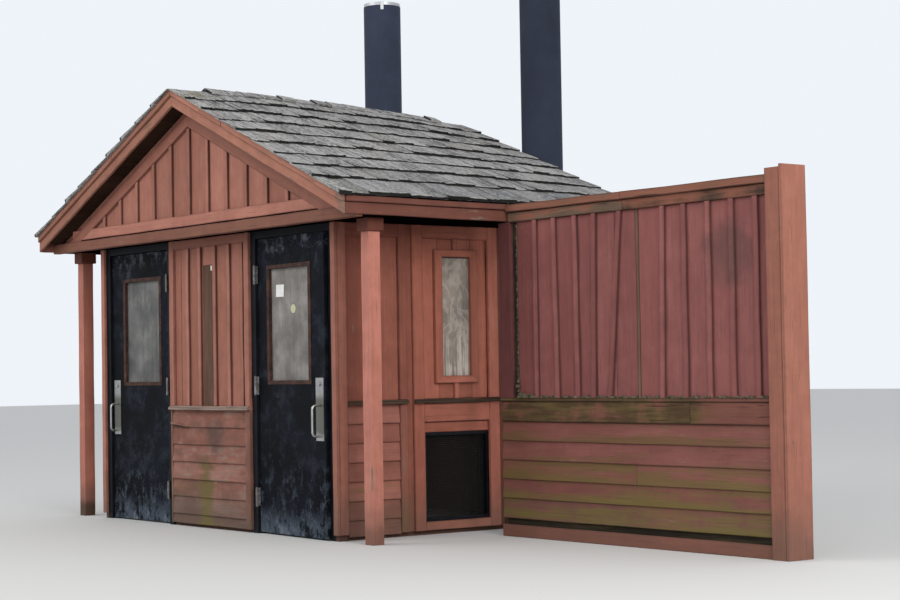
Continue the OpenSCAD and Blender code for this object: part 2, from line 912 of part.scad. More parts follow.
module vent_opening(shrink, y0, y1) {
    span([panel_y0 + corner_w + shrink, y0, vent_z - liner_t + shrink],
         [panel_y1 - corner_w - shrink, y1, vent_z + vent_h + liner_t - shrink]);
}

module side_window_frames() {
    color(RED) set_out() both_sides() on_right() difference() {
        union() {
            window_opening(window_trim, window_rail, -8, trim_t);
            window_opening(liner_t, liner_t, trim_t - eps, wall_t);
        }
        window_opening(0, 0, -9, wall_t + eps);
    }
}

module side_window_panes() {
    color(FROST) set_out() both_sides() on_right() window_opening(0, 0, trim_t - glass_t, trim_t);
}

module vent_frames() {
    color(BLACK) set_out() both_sides() on_right() difference() {
        vent_opening(0, trim_t, wall_t);
        vent_opening(liner_t, trim_t - eps, wall_t + eps);
    }
}

module vent_meshes() {
    color(BLACK) set_out() both_sides() on_right() vent_opening(liner_t, clad_t + 10, clad_t + 13);
}

// Vent pipes

module vent_pipe(x) {
    translate([x, pipe_y, 0]) difference() {
        cylinder(d = pipe_d, h = pipe_h);
        translate([0, 0, -eps]) cylinder(d = pipe_d - 2 * pipe_t, h = pipe_h + 2 * eps);
    }
}

module vent_pipes() {
    color(PIPE) set_out() for (x = [-left_pipe_x, right_pipe_x]) vent_pipe(x);
}

module pipe_caps() {
    color(STEEL) set_out() for (x = [-left_pipe_x, right_pipe_x])
        translate([x, pipe_y, pipe_h]) difference() {
            cylinder(d = pipe_d - 6, h = cap_h);
            translate([0, 0, -eps]) cylinder(d = pipe_d - 2 * pipe_t - 8, h = cap_h - 3);
        }
}

// A strap round the pipe on an arm from the wall
module bracket(x, z, from_y) {
    span([x - 25, from_y, z], [x + 25, from_y + bracket_t, z + bracket_h]);
    difference() {
        union() {
            span([x - bracket_t, from_y + bracket_t, z], [x + bracket_t, pipe_y, z + bracket_h]);
            translate([x, pipe_y, z]) cylinder(d = pipe_d + 2 * bracket_t, h = bracket_h);
        }
        translate([x, pipe_y, z - eps]) cylinder(d = pipe_d, h = bracket_h + 2 * eps);
    }
}

module pipe_brackets() {
    top_z = wall_h - corner_w / 2 - bracket_h / 2;
    color(STEEL) set_out() for (x = [-left_pipe_x, right_pipe_x]) {
        bracket(x, belt_z, body_d + belt_out);
        bracket(x, top_z, body_d);
    }
}

// Screen wall

module screen_wall() {
    color(RED_DEEP) set_out() {
        span([screen_x0, screen_core_y0, 0], [fascia_in, screen_core_y1, wall_h]);
        span([fascia_in, screen_core_y0, 0], [screen_fascia_x0, screen_core_y1, screen_fascia_z]);
        span([screen_fascia_x0, screen_core_y0, 0], [screen_x1, screen_core_y1, screen_top]);
    }
}

// Both faces of the screen, in the wall face's own frame
module screen_face() {
    belt_top = belt_z + belt_h;
    inner = screen_x0 + screen_trim_w;
    rail_z = belt_z - clap_h;
    boards(screen_x0, screen_x1, siding_foot, screen_fascia_z);
    boards(screen_fascia_x0, screen_x1, screen_fascia_z, screen_top);
    trim(screen_x0, inner, screen_sill_h, screen_fascia_z);
    for (x = [screen_x0 + screen_batten_at : screen_pitch : screen_x1 - batten_w])
        translate([x - batten_w / 2, 2, belt_top])
            cube([batten_w, trim_t - 2, screen_fascia_z - belt_top]);
    trim(inner, screen_x1, rail_z, belt_top);
    clapboards(inner, screen_x1, screen_sill_h + screen_sill_gap, rail_z);
}

module screen_siding() {
    color(RED_DEEP) set_out() {
        translate([0, screen_front, 0]) screen_face();
        translate([0, screen_back, 0]) mirror([0, 1, 0]) screen_face();
    }
}

// Fascia on both faces under one cap rail
module screen_head() {
    color(WEATHERED) set_out() {
        for (y = [screen_front, screen_back - trim_t])
            span([screen_fascia_x0, y, screen_fascia_z], [screen_x1, y + trim_t, screen_top]);
        span([screen_fascia_x0, screen_front - screen_cap_out, screen_top],
             [screen_x1, screen_back + screen_cap_out, screen_top + screen_cap_t]);
    }
}

module screen_end_post() {
    top = screen_top + screen_cap_t + 34;
    color(RED) set_out() {
        span([screen_x1, screen_front - trim_t, 0], [screen_x1 + end_post_w, screen_back + trim_t, top]);
        span([screen_x1 + end_post_w, screen_front - trim_t, 0],
             [screen_x1 + end_post_w + trim_t, screen_back + trim_t, top + 16]);
    }
}

module screen_sill() {
    color(RED_DEEP) set_out()
        for (y = [screen_front, screen_back - trim_t])
            span([screen_x0, y, 0], [screen_x1, y + trim_t, screen_sill_h]);
}

floor_slab();
front_panel_wall();
front_panel_siding();
side_walls();
rear_wall();
side_siding();
rear_siding();
belt_rails();
corner_boards();
soffit_and_ceiling();
gable_beams();
gable_walls();
gable_siding();
rake_soffits();
bargeboards();
eave_fascias();
left_roof_deck();
right_roof_deck();
left_shakes();
right_shakes();
ridge_cap();
roof_posts();
left_door_frame();
right_door_frame();
left_door_leaf();
right_door_leaf();
left_door_window_bead();
right_door_window_bead();
left_door_glass();
right_door_glass();
left_door_pull();
right_door_pull();
frame_hinges();
left_leaf_hinges();
right_leaf_hinges();
side_window_frames();
side_window_panes();
vent_frames();
vent_meshes();
vent_pipes();
pipe_caps();
pipe_brackets();
screen_wall();
screen_siding();
screen_head();
screen_end_post();
screen_sill();
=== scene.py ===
"""Looks for a timber outhouse of two compartments with a shake roof and a screen wall.

Metres. Pieces are built in the hut's own measure, x from the middle of the body, y from the
front trims back and z up from the ground, and make() then shifts them by FRONT_Y. A place on
a wall is u along it, d outwards from the faces of its trims and z up.
"""
import bpy
import math
import numpy as np
from mathutils import Matrix


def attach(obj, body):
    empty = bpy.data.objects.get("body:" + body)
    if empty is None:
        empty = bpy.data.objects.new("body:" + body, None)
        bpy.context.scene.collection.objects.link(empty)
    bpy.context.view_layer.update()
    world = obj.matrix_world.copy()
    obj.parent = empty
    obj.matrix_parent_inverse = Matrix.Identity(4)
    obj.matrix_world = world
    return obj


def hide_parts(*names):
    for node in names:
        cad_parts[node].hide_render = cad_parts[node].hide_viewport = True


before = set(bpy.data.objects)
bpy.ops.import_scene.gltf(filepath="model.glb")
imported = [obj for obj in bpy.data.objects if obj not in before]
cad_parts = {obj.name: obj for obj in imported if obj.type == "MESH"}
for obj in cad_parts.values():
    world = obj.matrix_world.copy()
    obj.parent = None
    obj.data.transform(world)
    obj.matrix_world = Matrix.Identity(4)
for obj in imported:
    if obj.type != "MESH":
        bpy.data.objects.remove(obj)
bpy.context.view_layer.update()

BODY_W, BODY_D, WALL_H = 3.29, 2.04, 2.1
HALF = BODY_W / 2
FRONT_Y = -BODY_D / 2
EAVE_X, SLOPE = HALF + 0.513, 0.428
EAVE_Z = 2.231
RIDGE_Z = EAVE_Z + SLOPE * EAVE_X
ROOF_RUN = math.hypot(1, SLOPE)
BARGE_Y, REAR_BARGE_Y = -0.277, BODY_D + 0.277
GABLE_OUT, BEAM_OUT, GABLE_HALF = 0.15, 0.165, 2.138
BELT_Z, FRONT_BELT, BELT_H, CLAP = 0.89, 0.852, 0.03, 0.127
BELT_TOP = BELT_Z + BELT_H
# Openings in the side walls, as u0, u1, z0 and z1, with the widths of what frames them
WINDOW_U, WINDOW, WINDOW_SIDE, WINDOW_RAIL, LINER = 1.0, (0.88, 1.12, 1.074, 1.887), 0.065, 0.049, 0.02
VENT, VENT_RIM = (0.741, 1.259, 0.11, 0.67), 0.022
SCREEN_Y, SCREEN_BACK, HEAD_Z = 1.04, 1.206, 2.09
SCREEN_X0, SCREEN_X1 = HALF + 0.425, HALF + 0.425 + 2.465
PANEL_X, LEAF_Y, LEAF_PIN_X, AJAR = 0.563, 0.04, 0.6235, math.radians(3)
CORNER_W, BATTEN, SEAM = 0.09, 0.021, 0.001
FOOT_Z, CLAP_Z = 0.03, 0.022
# Depths, from the back of a layer to its face: boards, trims and battens over them, and both in one
BOARD, TRIM, BATTEN_D, DEEP = (-0.038, -0.02), (-0.02, 0), (-0.02, -0.002), (-0.038, 0)
X, Y, Z = (1, 0, 0), (0, 1, 0), (0, 0, 1)
TURN = 6.28  # a full turn, near enough for the waves that random phases shift
rng = np.random.default_rng(7)


# Shapes

def sag(x, y):
    """Drop of the sunken roof: sunk(y) (98 - 73 |x| / eave) mm, sunk = (y / rear)^1.6."""
    sunk = np.clip(y / REAR_BARGE_Y, 0, 1) ** 1.6
    return sunk * (0.098 - 0.073 * np.abs(x) / EAVE_X)


def sagging(p):
    """Lowers points in the hut's measure with the roof: z' = z - sag(x, y)."""
    p = p.copy()
    p[:, 2] -= sag(p[:, 0], p[:, 1])
    return p


def roof_line(y):
    """Height of the ridge and slope of the sunken roof at a distance from the front.

    The ridge is RIDGE_Z - sag(0, y), and the slope is less by (sag(0, y) - sag(eave, y)) / eave.
    """
    return RIDGE_Z - float(sag(0, y)), SLOPE - float(sag(0, y) - sag(EAVE_X, y)) / EAVE_X


def down_slope(side, slope):
    """Unit vectors down one side of a roof, (side, 0, -slope) / run, and at right angles to it, inwards."""
    run = math.hypot(1, slope)
    return np.array((side, 0, -slope)) / run, np.array((-side * slope, 0, -1)) / run


def plane(origin, along, out, up=Z):
    """Matrix from wall measure (u, d, z) to the hut's: origin + u along + d out + z up."""
    m = np.eye(4)
    m[:3, 0], m[:3, 1], m[:3, 2], m[:3, 3] = along, out, up, origin
    return m


FORWARDS, LEFTWARDS = (0, -1, 0), (-1, 0, 0)
FRONT = plane((0, 0, 0), X, FORWARDS)
REAR = plane((0, BODY_D, 0), X, Y)
RIGHT = plane((HALF, 0, 0), Y, X)
LEFT = plane((-HALF, 0, 0), Y, LEFTWARDS)
SCREEN_FACES = plane((0, SCREEN_Y, 0), X, FORWARDS), plane((0, SCREEN_BACK, 0), X, Y)


def rect(width, thick, bevel=0.0025):
    """Section of a board: a rectangle with its corners cut off."""
    b, w, t = bevel, width, thick
    return [(b, 0), (w - b, 0), (w, b), (w, t - b), (w - b, t), (b, t), (0, t - b), (0, b)]


def clap(height, butt, head):
    """Section of a clapboard: thick at its foot, thin at its top."""
    return [(0.002, 0), (height, 0), (height, head), (0.004, butt), (0, butt - 0.004), (0, 0.002)]


def tube_faces(rings, n):
    """Corner numbers of the quads between rings of n points, in an array of rings - 1 by n by 4."""
    k, i = np.meshgrid(np.arange(rings - 1) * n, np.arange(n), indexing="ij")
    nxt = (i + 1) % n
    return np.stack([k + i, k + nxt, k + n + nxt, k + n + i], -1)


class Boards:
    """Gathers boards into one mesh. Each is a section swept along a line, with inset ends.

    A point is start + (l + shift) run + (s + g) side + (f + h) face, where (s, f) goes round the
    section and l along the board of length L. The shift that cuts the ends aslant is
    s (cut0 (1 - l / L) + cut1 l / L). The board wanders by h = bow sin(pi l / L) +
    wander sin(2 pi l / wave + a) and g = wander sin(2 pi l / wave + b). A ragged start moves
    by a line through six random heights. The tone attribute holds three random numbers for
    the board and, as its alpha, l. The map "grain" holds l and the way round the section, the
    map "edge" the distances to both edges of a face, or -1 on the sides that are listed to be
    shaded, which the shaders darken as painted shade on the sides turned from the light.
    """

    END_EDGE, END_SKEW = 0.004, 0.3

    def __init__(self, name, body="building"):
        self.name, self.body, self.count = name, body, 0
        self.points, self.faces, self.grain, self.edge, self.tones = [], [], [], [], []

    def add(self, m, start, run, side, face, length, section, cuts=(0, 0), bow=0.0, wander=0.0006,
            taper=None, end=0.002, tone=None, step=0.22, bend=None, ragged=0, dim=()):
        """Adds a board as whole arrays over its rings and the corners of its section."""
        run, side, face, start = (np.array(v, float) for v in (run, side, face, start))
        sec = np.array(section, float)
        n, inner = len(sec), max(1, int(round(length / step)))
        ls = np.concatenate([[0], np.linspace(end, length - end, inner + 1), [length]])
        phase, wave = rng.uniform(0, TURN, 2), rng.uniform(0.5, 1.1)
        l = ls[:, None]
        t = l / length
        middle, half = sec.mean(0), np.maximum(np.ptp(sec, axis=0) / 2, 1e-6)
        ring = np.tile(sec, (len(ls), 1, 1))
        ring[[0, -1]] = middle + (sec - middle) * (1 - end / half)
        s, f = ring[..., 0], ring[..., 1]
        if taper is not None:
            f = taper(t, f)
        shift = cuts[0] * s * (1 - t) + cuts[1] * s * t
        if ragged:
            places = np.linspace(sec[:, 0].min(), sec[:, 0].max(), 6)
            shift[0] += ragged * np.interp(s[0], places, rng.uniform(-1, 1, 6))
        h = bow * np.sin(math.pi * t) + wander * np.sin(TURN * l / wave + phase[0])
        g = wander * np.sin(TURN * l / wave + phase[1])
        p = (start + (l + shift)[..., None] * run + (s + g)[..., None] * side
             + (f + h)[..., None] * face).reshape(-1, 3) @ m[:3, :3].T + m[:3, 3]
        if bend is not None:
            p = bend(p)
        flip = np.linalg.det(m[:3, :3]) * np.linalg.det(np.array([run, side, face])) < 0
        self.skin(sec, ls, rng.uniform(0, 40, 2), dim, slice(None, None, -1 if flip else 1))
        tone = tone or rng.uniform(size=3)
        self.tones.append(np.column_stack([np.tile(tone, (len(p), 1)), np.repeat(ls, n)]))
        self.points.append(p)
        self.count += len(p)

    def skin(self, sec, ls, off, dim, order):
        """Adds the faces of a board and their two maps, with the corners of each face in an order."""
        n = len(sec)
        quads = tube_faces(len(ls), n)
        around = np.append(0, np.cumsum(np.linalg.norm(np.roll(sec, -1, axis=0) - sec, axis=1)))
        grain, edge = np.zeros((2, *quads.shape, 2))
        grain[..., :2, 0], grain[..., 2:, 0] = ls[:-1, None, None], ls[1:, None, None]
        grain[..., (0, 3), 1], grain[..., (1, 2), 1] = around[:-1, None], around[1:, None]
        edge[..., (0, 3), 1] = edge[..., (1, 2), 0] = np.diff(around)[:, None]
        # Sides listed to be shaded get -1, which the shaders turn into painted shade
        edge[:, list(dim)] = -1
        ends = np.arange(n)[::-1][order], np.arange(n)[order]
        caps = ends[0], ends[1] + (len(ls) - 1) * n
        cap_maps = [np.column_stack([l + sec[end, 1] * self.END_SKEW, sec[end, 0]])
                    for l, end in zip((ls[0], ls[-1]), ends)]
        self.faces += (self.count + quads[..., order].reshape(-1, 4)).tolist()
        self.faces += [(self.count + cap).tolist() for cap in caps]
        self.grain += [v + off for v in (grain[:, :, order].reshape(-1, 2), *cap_maps)]
        self.edge += [edge[:, :, order].reshape(-1, 2), np.full((2 * n, 2), self.END_EDGE)]

    def upright(self, m, u0, u1, z0, z1, d0, d1, **kw):
        """A board that stands, between two places along the wall and two depths."""
        self.add(m, (u0, d0, z0), Z, X, Y, z1 - z0, rect(u1 - u0, d1 - d0), **kw)

    def lying(self, m, u0, u1, z0, z1, d0, d1, **kw):
        """A board that runs along the wall."""
        self.add(m, (u0, d0, z0), X, Z, Y, u1 - u0, rect(z1 - z0, d1 - d0), **kw)

    def batten(self, m, u, z0, z1, **kw):
        """A batten over a seam, a little crooked."""
        self.upright(m, u - BATTEN, u + BATTEN, z0, z1, *BATTEN_D, wander=0.0015, **kw)

    def claps(self, m, u0, u1, z0, z1, joints=()):
        """Lapped clapboards spaced from a top down to a foot.

        A joint is a row, counted from the foot, and a place.
        """
        n = round((z1 - z0) / CLAP)
        feet = [z0] + [z1 - i * CLAP for i in range(n - 1, 0, -1)]
        for row, (z, above) in enumerate(zip(feet, feet[1:] + [z1])):
            top = min(above + 0.014, z1)
            ends = [u0] + [place for r, place in joints if r == row] + [u1]
            for a, b in zip(ends, ends[1:]):
                self.add(m, (a + SEAM, TRIM[0], z), X, Z, Y, b - a - 2 * SEAM,
                         clap(top - z, 0.017 + rng.uniform(-0.0015, 0.001), 0.003), wander=0.0008,
                         bow=rng.uniform(0, 0.001))

    def build(self, material, *nodes, slot=None):
        """Makes the piece that the boards form, in place of some CAD nodes."""
        maps = {"grain": np.concatenate(self.grain), "edge": np.concatenate(self.edge)}
        make(self.name, np.concatenate(self.points), self.faces, material, self.body, nodes,
             maps, np.concatenate(self.tones))


def to_scene(name, data):
    """Links a new object to the scene."""
    obj = bpy.data.objects.new(name, data)
    bpy.context.scene.collection.objects.link(obj)
    return obj


def make(name, points, faces, material, body="building", nodes=(), maps=None, tones=None):
    """Makes a piece from points in the hut's measure and has it ride on a body."""
    mesh = bpy.data.meshes.new(name)
    mesh.from_pydata((points + (0, FRONT_Y, 0)).tolist(), [], faces)
    for key, values in (maps or {}).items():
        mesh.uv_layers.new(name=key).data.foreach_set("uv", values.astype(np.float32).ravel())
    if tones is not None:
        tone = mesh.color_attributes.new("tone", "FLOAT_COLOR", "POINT")
        tone.data.foreach_set("color", tones.astype(np.float32).ravel())
    mesh.materials.append(material)
    mesh.update()
    obj = to_scene(name, mesh)
    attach(obj, body)
    if nodes:
        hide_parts(*nodes)


# Shaders

class Val:
    """A socket in a shader tree that can be used in formulas."""

    def __init__(self, tree, socket):
        self.tree, self.socket = tree, socket

    def _m(self, op, *args):
        return self.tree.maths(op, self, *args)

    def __add__(self, o): return self._m("ADD", o)
    def __radd__(self, o): return self._m("ADD", o)
    def __sub__(self, o): return self._m("SUBTRACT", o)
    def __rsub__(self, o): return self.tree.maths("SUBTRACT", o, self)
    def __mul__(self, o): return self._m("MULTIPLY", o)
    def __rmul__(self, o): return self._m("MULTIPLY", o)
    def __truediv__(self, o): return self._m("DIVIDE", o)
    def __rtruediv__(self, o): return self.tree.maths("DIVIDE", o, self)
    def __pow__(self, o): return self._m("POWER", o)

    def abs(self): return self._m("ABSOLUTE")
    def max(self, o): return self._m("MAXIMUM", o)
    def min(self, o): return self._m("MINIMUM", o)
    def fract(self): return self._m("FRACT")

    def step(self, lo, hi, a=0.0, b=1.0):
        """Goes from a to b by 3 t^2 - 2 t^3 as the value goes from lo to hi."""
        return self.tree.node("MapRange", {0: self, 1: lo, 2: hi, 3: a, 4: b},
                              interpolation_type="SMOOTHSTEP")


class Tree:
    """The node tree of a material or of the world, built by formulas."""

    def __init__(self, tree):
        self.tree = tree

    def put(self, socket, value):
        """Gives a socket its link or value. A colour of three numbers gets its alpha."""
        if isinstance(value, Val):
            self.tree.links.new(value.socket, socket)
        elif isinstance(value, (tuple, list)) and len(value) == 3 and socket.type == "RGBA":
            socket.default_value = (*value, 1)
        else:
            socket.default_value = value

    def node(self, kind, inputs=None, out=0, **settings):
        """Adds a node of a type with its settings, then the values or links of its sockets."""
        n = self.tree.nodes.new("ShaderNode" + kind)
        for key, value in settings.items():
            setattr(n, key, value)
        for key, value in (inputs or {}).items():
            self.put(n.inputs[key], value)
        return Val(self, n.outputs[out])

    def outputs(self, value, *keys):
        """Some outputs of the node that a value comes from."""
        return [Val(self, value.socket.node.outputs[key]) for key in keys]

    def maths(self, op, *args):
        """A Math node on values and numbers."""
        return self.node("Math", dict(enumerate(args)), operation=op)


class Shader(Tree):
    """A material with one surface shader."""

    def __init__(self, name, rough, metallic=0.0, spec=0.5):
        self.mat = bpy.data.materials.new(name)
        self.mat.use_nodes = True
        super().__init__(self.mat.node_tree)
        self.surface = self.tree.nodes["Principled BSDF"].inputs
        for key, value in (("Roughness", rough), ("Metallic", metallic), ("Specular IOR Level", spec)):
            self.surface[key].default_value = value

    def noise(self, vector, scale, detail, rough, distort=0.0):
        """Cloudy noise from 0 to 1, about 0.5."""
        return self.node("TexNoise", {"Vector": vector, "Scale": scale, "Detail": detail,
                                      "Roughness": rough, "Distortion": distort})

    def streaks(self, vector, by, detail, rough, distort=0.0):
        """Noise on a vector whose parts are multiplied, so that it runs along a board or down a face."""
        squeezed = self.node("VectorMath", {0: vector, 1: by, 2: (0, 0, 0)}, operation="MULTIPLY_ADD")
        return self.noise(squeezed, 1, detail, rough, distort)

    def mix(self, f, a, b, blend="MIX"):
        """Goes from colour a to colour b with f, which is kept from 0 to 1."""
        return self.node("Mix", {0: f, 6: a, 7: b}, out=2, data_type="RGBA", blend_type=blend,
                         clamp_factor=True)

    def shade(self, colour, by):
        """Multiplies a colour by a grey value."""
        grey = self.node("CombineColor", {0: by, 1: by, 2: by})
        return self.mix(1.0, colour, grey, "MULTIPLY")

    def lift(self, colour, axis, lo, hi, gain):
        """Brightens a colour by a share as an object coordinate goes from lo to hi."""
        return self.shade(colour, self.xyz()[axis].step(lo, hi, 1.0, 1.0 + gain))

    def place(self):
        """The object coordinates, which are metres in the shared frame."""
        return self.node("TexCoord", out="Object")

    def xyz(self):
        """The three object coordinates."""
        return self.outputs(self.node("SeparateXYZ", {0: self.place()}), 0, 1, 2)

    def grain(self):
        """The board's own coordinates: metres along it and round it."""
        return self.node("UVMap", out="UV", uv_map="grain")

    def edges(self):
        """Distances to both edges of the board's face; the second is the foot of a clapboard."""
        both = self.node("UVMap", out="UV", uv_map="edge")
        return self.outputs(self.node("SeparateXYZ", {0: both}), 0, 1)

    def edge(self):
        """Distance to the nearer edge of the board's face."""
        near, far = self.edges()
        return near.min(far)

    def tone(self):
        """A board's three random numbers and the distance from its start."""
        a = self.node("Attribute", out="Color", attribute_name="tone")
        return self.outputs(self.node("SeparateColor", {0: a}), 0, 1, 2) + self.outputs(a, "Alpha")

    def finish(self, colour, rough=None, height=None, distance=0.001):
        """Gives the surface its colour, roughness and relief, a height times a distance."""
        self.put(self.surface["Base Color"], colour)
        if rough is not None:
            self.put(self.surface["Roughness"], rough)
        if height is not None:
            relief = {"Strength": 1.0, "Distance": distance, "Height": height}
            self.put(self.surface["Normal"], self.node("Bump", relief, out="Normal"))
        return self.mat


# Colours of wear and of painted shade, shadow, highlight and reflection, as linear red, green and
# blue: old paint, bare timber, shakes, then doors and panes
CRACKS, SEAM_DIRT_AND_SHADE, WASHED = (0.03, 0.018, 0.014), (0.045, 0.020, 0.017), (0.24, 0.175, 0.14)
GRIMY, MUD, DAMP = (0.10, 0.056, 0.038), (0.085, 0.06, 0.045), (0.04, 0.03, 0.018)
SOOT, BROWN_FILM, OLIVE_FILM = (0.055, 0.034, 0.030), (0.105, 0.062, 0.026), (0.115, 0.092, 0.024)
MOSS_DARK, MOSS_LIGHT, OPEN_CRACK = (0.070, 0.052, 0.019), (0.158, 0.115, 0.044), (0.012, 0.01, 0.008)
DARK_SEAM, BOARD_JOINT = (0.02, 0.014, 0.01), (0.004, 0.003, 0.003)
SHAKE_DARK, SHAKE_LIGHT, SHAKE_BROWN = (0.050, 0.050, 0.051), (0.37, 0.36, 0.355), (0.16, 0.14, 0.12)
SHAKE_BLUE, SILVERED, CLEFT = (0.085, 0.095, 0.105), (0.33, 0.34, 0.30), (0.028, 0.026, 0.025)
ROOF_MOSS, LICHEN, LICHEN_SPECK = (0.10, 0.09, 0.03), (0.40, 0.43, 0.33), (0.46, 0.47, 0.42)
PALE_BUTT_EDGE_AND_HIGHLIGHT, BUTT_SHADOW = (0.42, 0.42, 0.40), (0.007, 0.007, 0.007)
DOOR_BLACK, DOOR_BLUE, CHALK = (0.0030, 0.0034, 0.0048), (0.0062, 0.0080, 0.0135), (0.065, 0.082, 0.108)
SCUFFS, SPECKS, RUST_DARK = (0.17, 0.19, 0.22), (0.17, 0.18, 0.20), (0.014, 0.009, 0.008)
RUST_LIGHT, PLATE_SHADE_AND_REFLECTION, PANE_EDGE_SHADOW = (0.085, 0.038, 0.026), (0.5, 0.49, 0.42), (0.02, 0.014, 0.012)


def painted(name, base, faded, bare=(0.13, 0.105, 0.08), chips=0.12, grime=0.5, moss=0.0, moss_top=0.9,
            stain=None, worn=None, column=None, corner=None, seam_dirt_and_shade=0.35, lift=None, patches=0.0, feet=0.0):
    """Old paint on sawn timber: streaks along the grain, chips down to grey wood, grime and painted shade in
    seams, green film.

    The colour is mixed by broad and cloudy noise and each board's own numbers, then shaded by the
    streaks. A mask is a smooth step of a noise, or of a distance that a noise roughens. A stain is
    a place in x and z with its radius and strength. A post has chips on the corner where x - y is
    largest, about a height, and a damp foot. Beyond x = worn the paint is gone. A column is a place
    in x where water has run down, with its width. A lift is what Shader.lift takes; it paints light
    or shade along an axis. Patches of grime and of bare, washed-out paint cover it by a share. Feet
    is how much denser the moss is at the feet of clapboards and of the wall.
    """
    s = Shader(name, 0.7, spec=0.2)
    uv, obj = s.grain(), s.place()
    x, y, z = s.xyz()
    tint, shadow, wear = s.tone()[:3]
    streak = s.streaks(uv, (3.0, 95.0, 1), 4, 0.6)
    mid = s.streaks(uv, (2.2, 30.0, 1), 4, 0.62)
    broad = s.streaks(uv, (1.3, 9.0, 1), 3, 0.55)
    cloud = s.noise(obj, 2.3, 4, 0.6)
    mottle = s.noise(obj, 9.0, 5, 0.65)
    crack = s.streaks(uv, (4.0, 150.0, 1), 2, 0.5).step(0.66, 0.72)
    chip_field = s.streaks(uv, (7.0, 42.0, 1), 6, 0.68)
    chip = chip_field + (wear - 0.5) * 0.10 + (cloud - 0.5) * 0.25
    if worn:
        chip = chip + (x + (mottle - 0.5) * 0.12).step(worn - 0.05, worn + 0.03) * 0.45
    if corner:
        out, height = corner
        arris = (x - y).step(out - 0.022, out - 0.004)
        chip = chip + arris * (z - height).abs().step(0.10, 0.04) * 0.4
    chip = chip.step(0.70 - chips * 0.35, 0.74 - chips * 0.3)
    fade = (broad * 0.6 + cloud * 0.6 + mottle * 0.3 - 0.5 + (tint - 0.5) * 0.45).step(0.0, 0.75)
    light = 0.43 + streak * 0.4 + mid * 0.42 + mottle * 0.3 + (shadow - 0.5) * 0.18
    colour = s.shade(s.mix(fade, base, faded), light)
    wood = s.mix(broad, bare, tuple(c * 1.7 for c in bare))
    colour = s.mix(chip * 0.7, colour, s.shade(wood, 0.6 + streak * 0.8))
    colour = s.mix(crack * 0.45, colour, CRACKS)
    # Grime and painted shade darken each face within about 6 mm of its edges, in seams and creases, and the
    # sides listed to be shaded get painted shade
    seam = (s.edge() + (mottle - 0.5) * 0.010).step(0.0065, 0.0005)
    colour = s.mix(seam * seam_dirt_and_shade + s.edge().step(-0.4, -0.6) * 0.45, colour, SEAM_DIRT_AND_SHADE)
    if patches:
        patch = s.streaks(uv, (3.4, 9.0, 1), 4, 0.6) + (mottle - 0.5) * 0.25 + (tint - 0.5) * 0.12
        colour = s.mix(patch.step(0.49, 0.66) * patches, colour, s.shade(WASHED, 0.5 + streak))
        colour = s.mix(patch.step(0.50, 0.34) * patches, colour, GRIMY)
    foot = (z + (cloud - 0.5) * 0.5).step(0.42, 0.02)
    colour = s.mix(foot * grime, colour, MUD)
    if corner:
        damp = (z + (mottle - 0.5) * 0.06).step(0.15, 0.07) * x.step(1.0, -1.0, 0.35, 0.8)
        colour = s.mix(damp, colour, DAMP)
    if moss:
        film = s.streaks(uv, (1.1, 13.0, 1), 5, 0.62)
        band = (z + (cloud - 0.5) * 0.3).step(moss_top + 0.06, moss_top - 0.10)
        film = film * 0.75 + mottle * 0.3 + (shadow - 0.5) * 0.2
        if feet:
            below = s.edges()[1] + (cloud - 0.5) * 0.06
            film = film + below.step(0.075, 0.0) * feet + z.step(0.34, 0.2) * feet * 0.8
        if column:
            middle, width = column
            run = (x - middle).abs() + (mottle - 0.5) * 0.16 + (cloud - 0.5) * 0.08
            film = film + run.step(width, 0.0) * z.step(0.66, 0.4) * 0.33
        green = film.step(0.62 - moss * 0.28, 0.86 - moss * 0.24) * band
        olive = s.mix(z.step(0.7, 0.15), BROWN_FILM, OLIVE_FILM)
        colour = s.mix(green * 0.85, colour, s.shade(olive, 0.65 + streak * 0.7))
    if stain:
        at_x, at_z, radius, strength = stain
        away2 = (x - at_x) ** 2 + (z - at_z) ** 2 + (mottle - 0.5) * radius ** 2
        colour = s.mix(away2.step(radius ** 2, 0.0) * strength, colour, SOOT)
    if lift:
        colour = s.lift(colour, *lift)
    relief = streak * 0.5 + broad * 0.2 - chip * 0.35 - crack * 0.6
    return s.finish(colour, rough=0.62 + chip * 0.2 + streak * 0.12, height=relief, distance=0.0011)


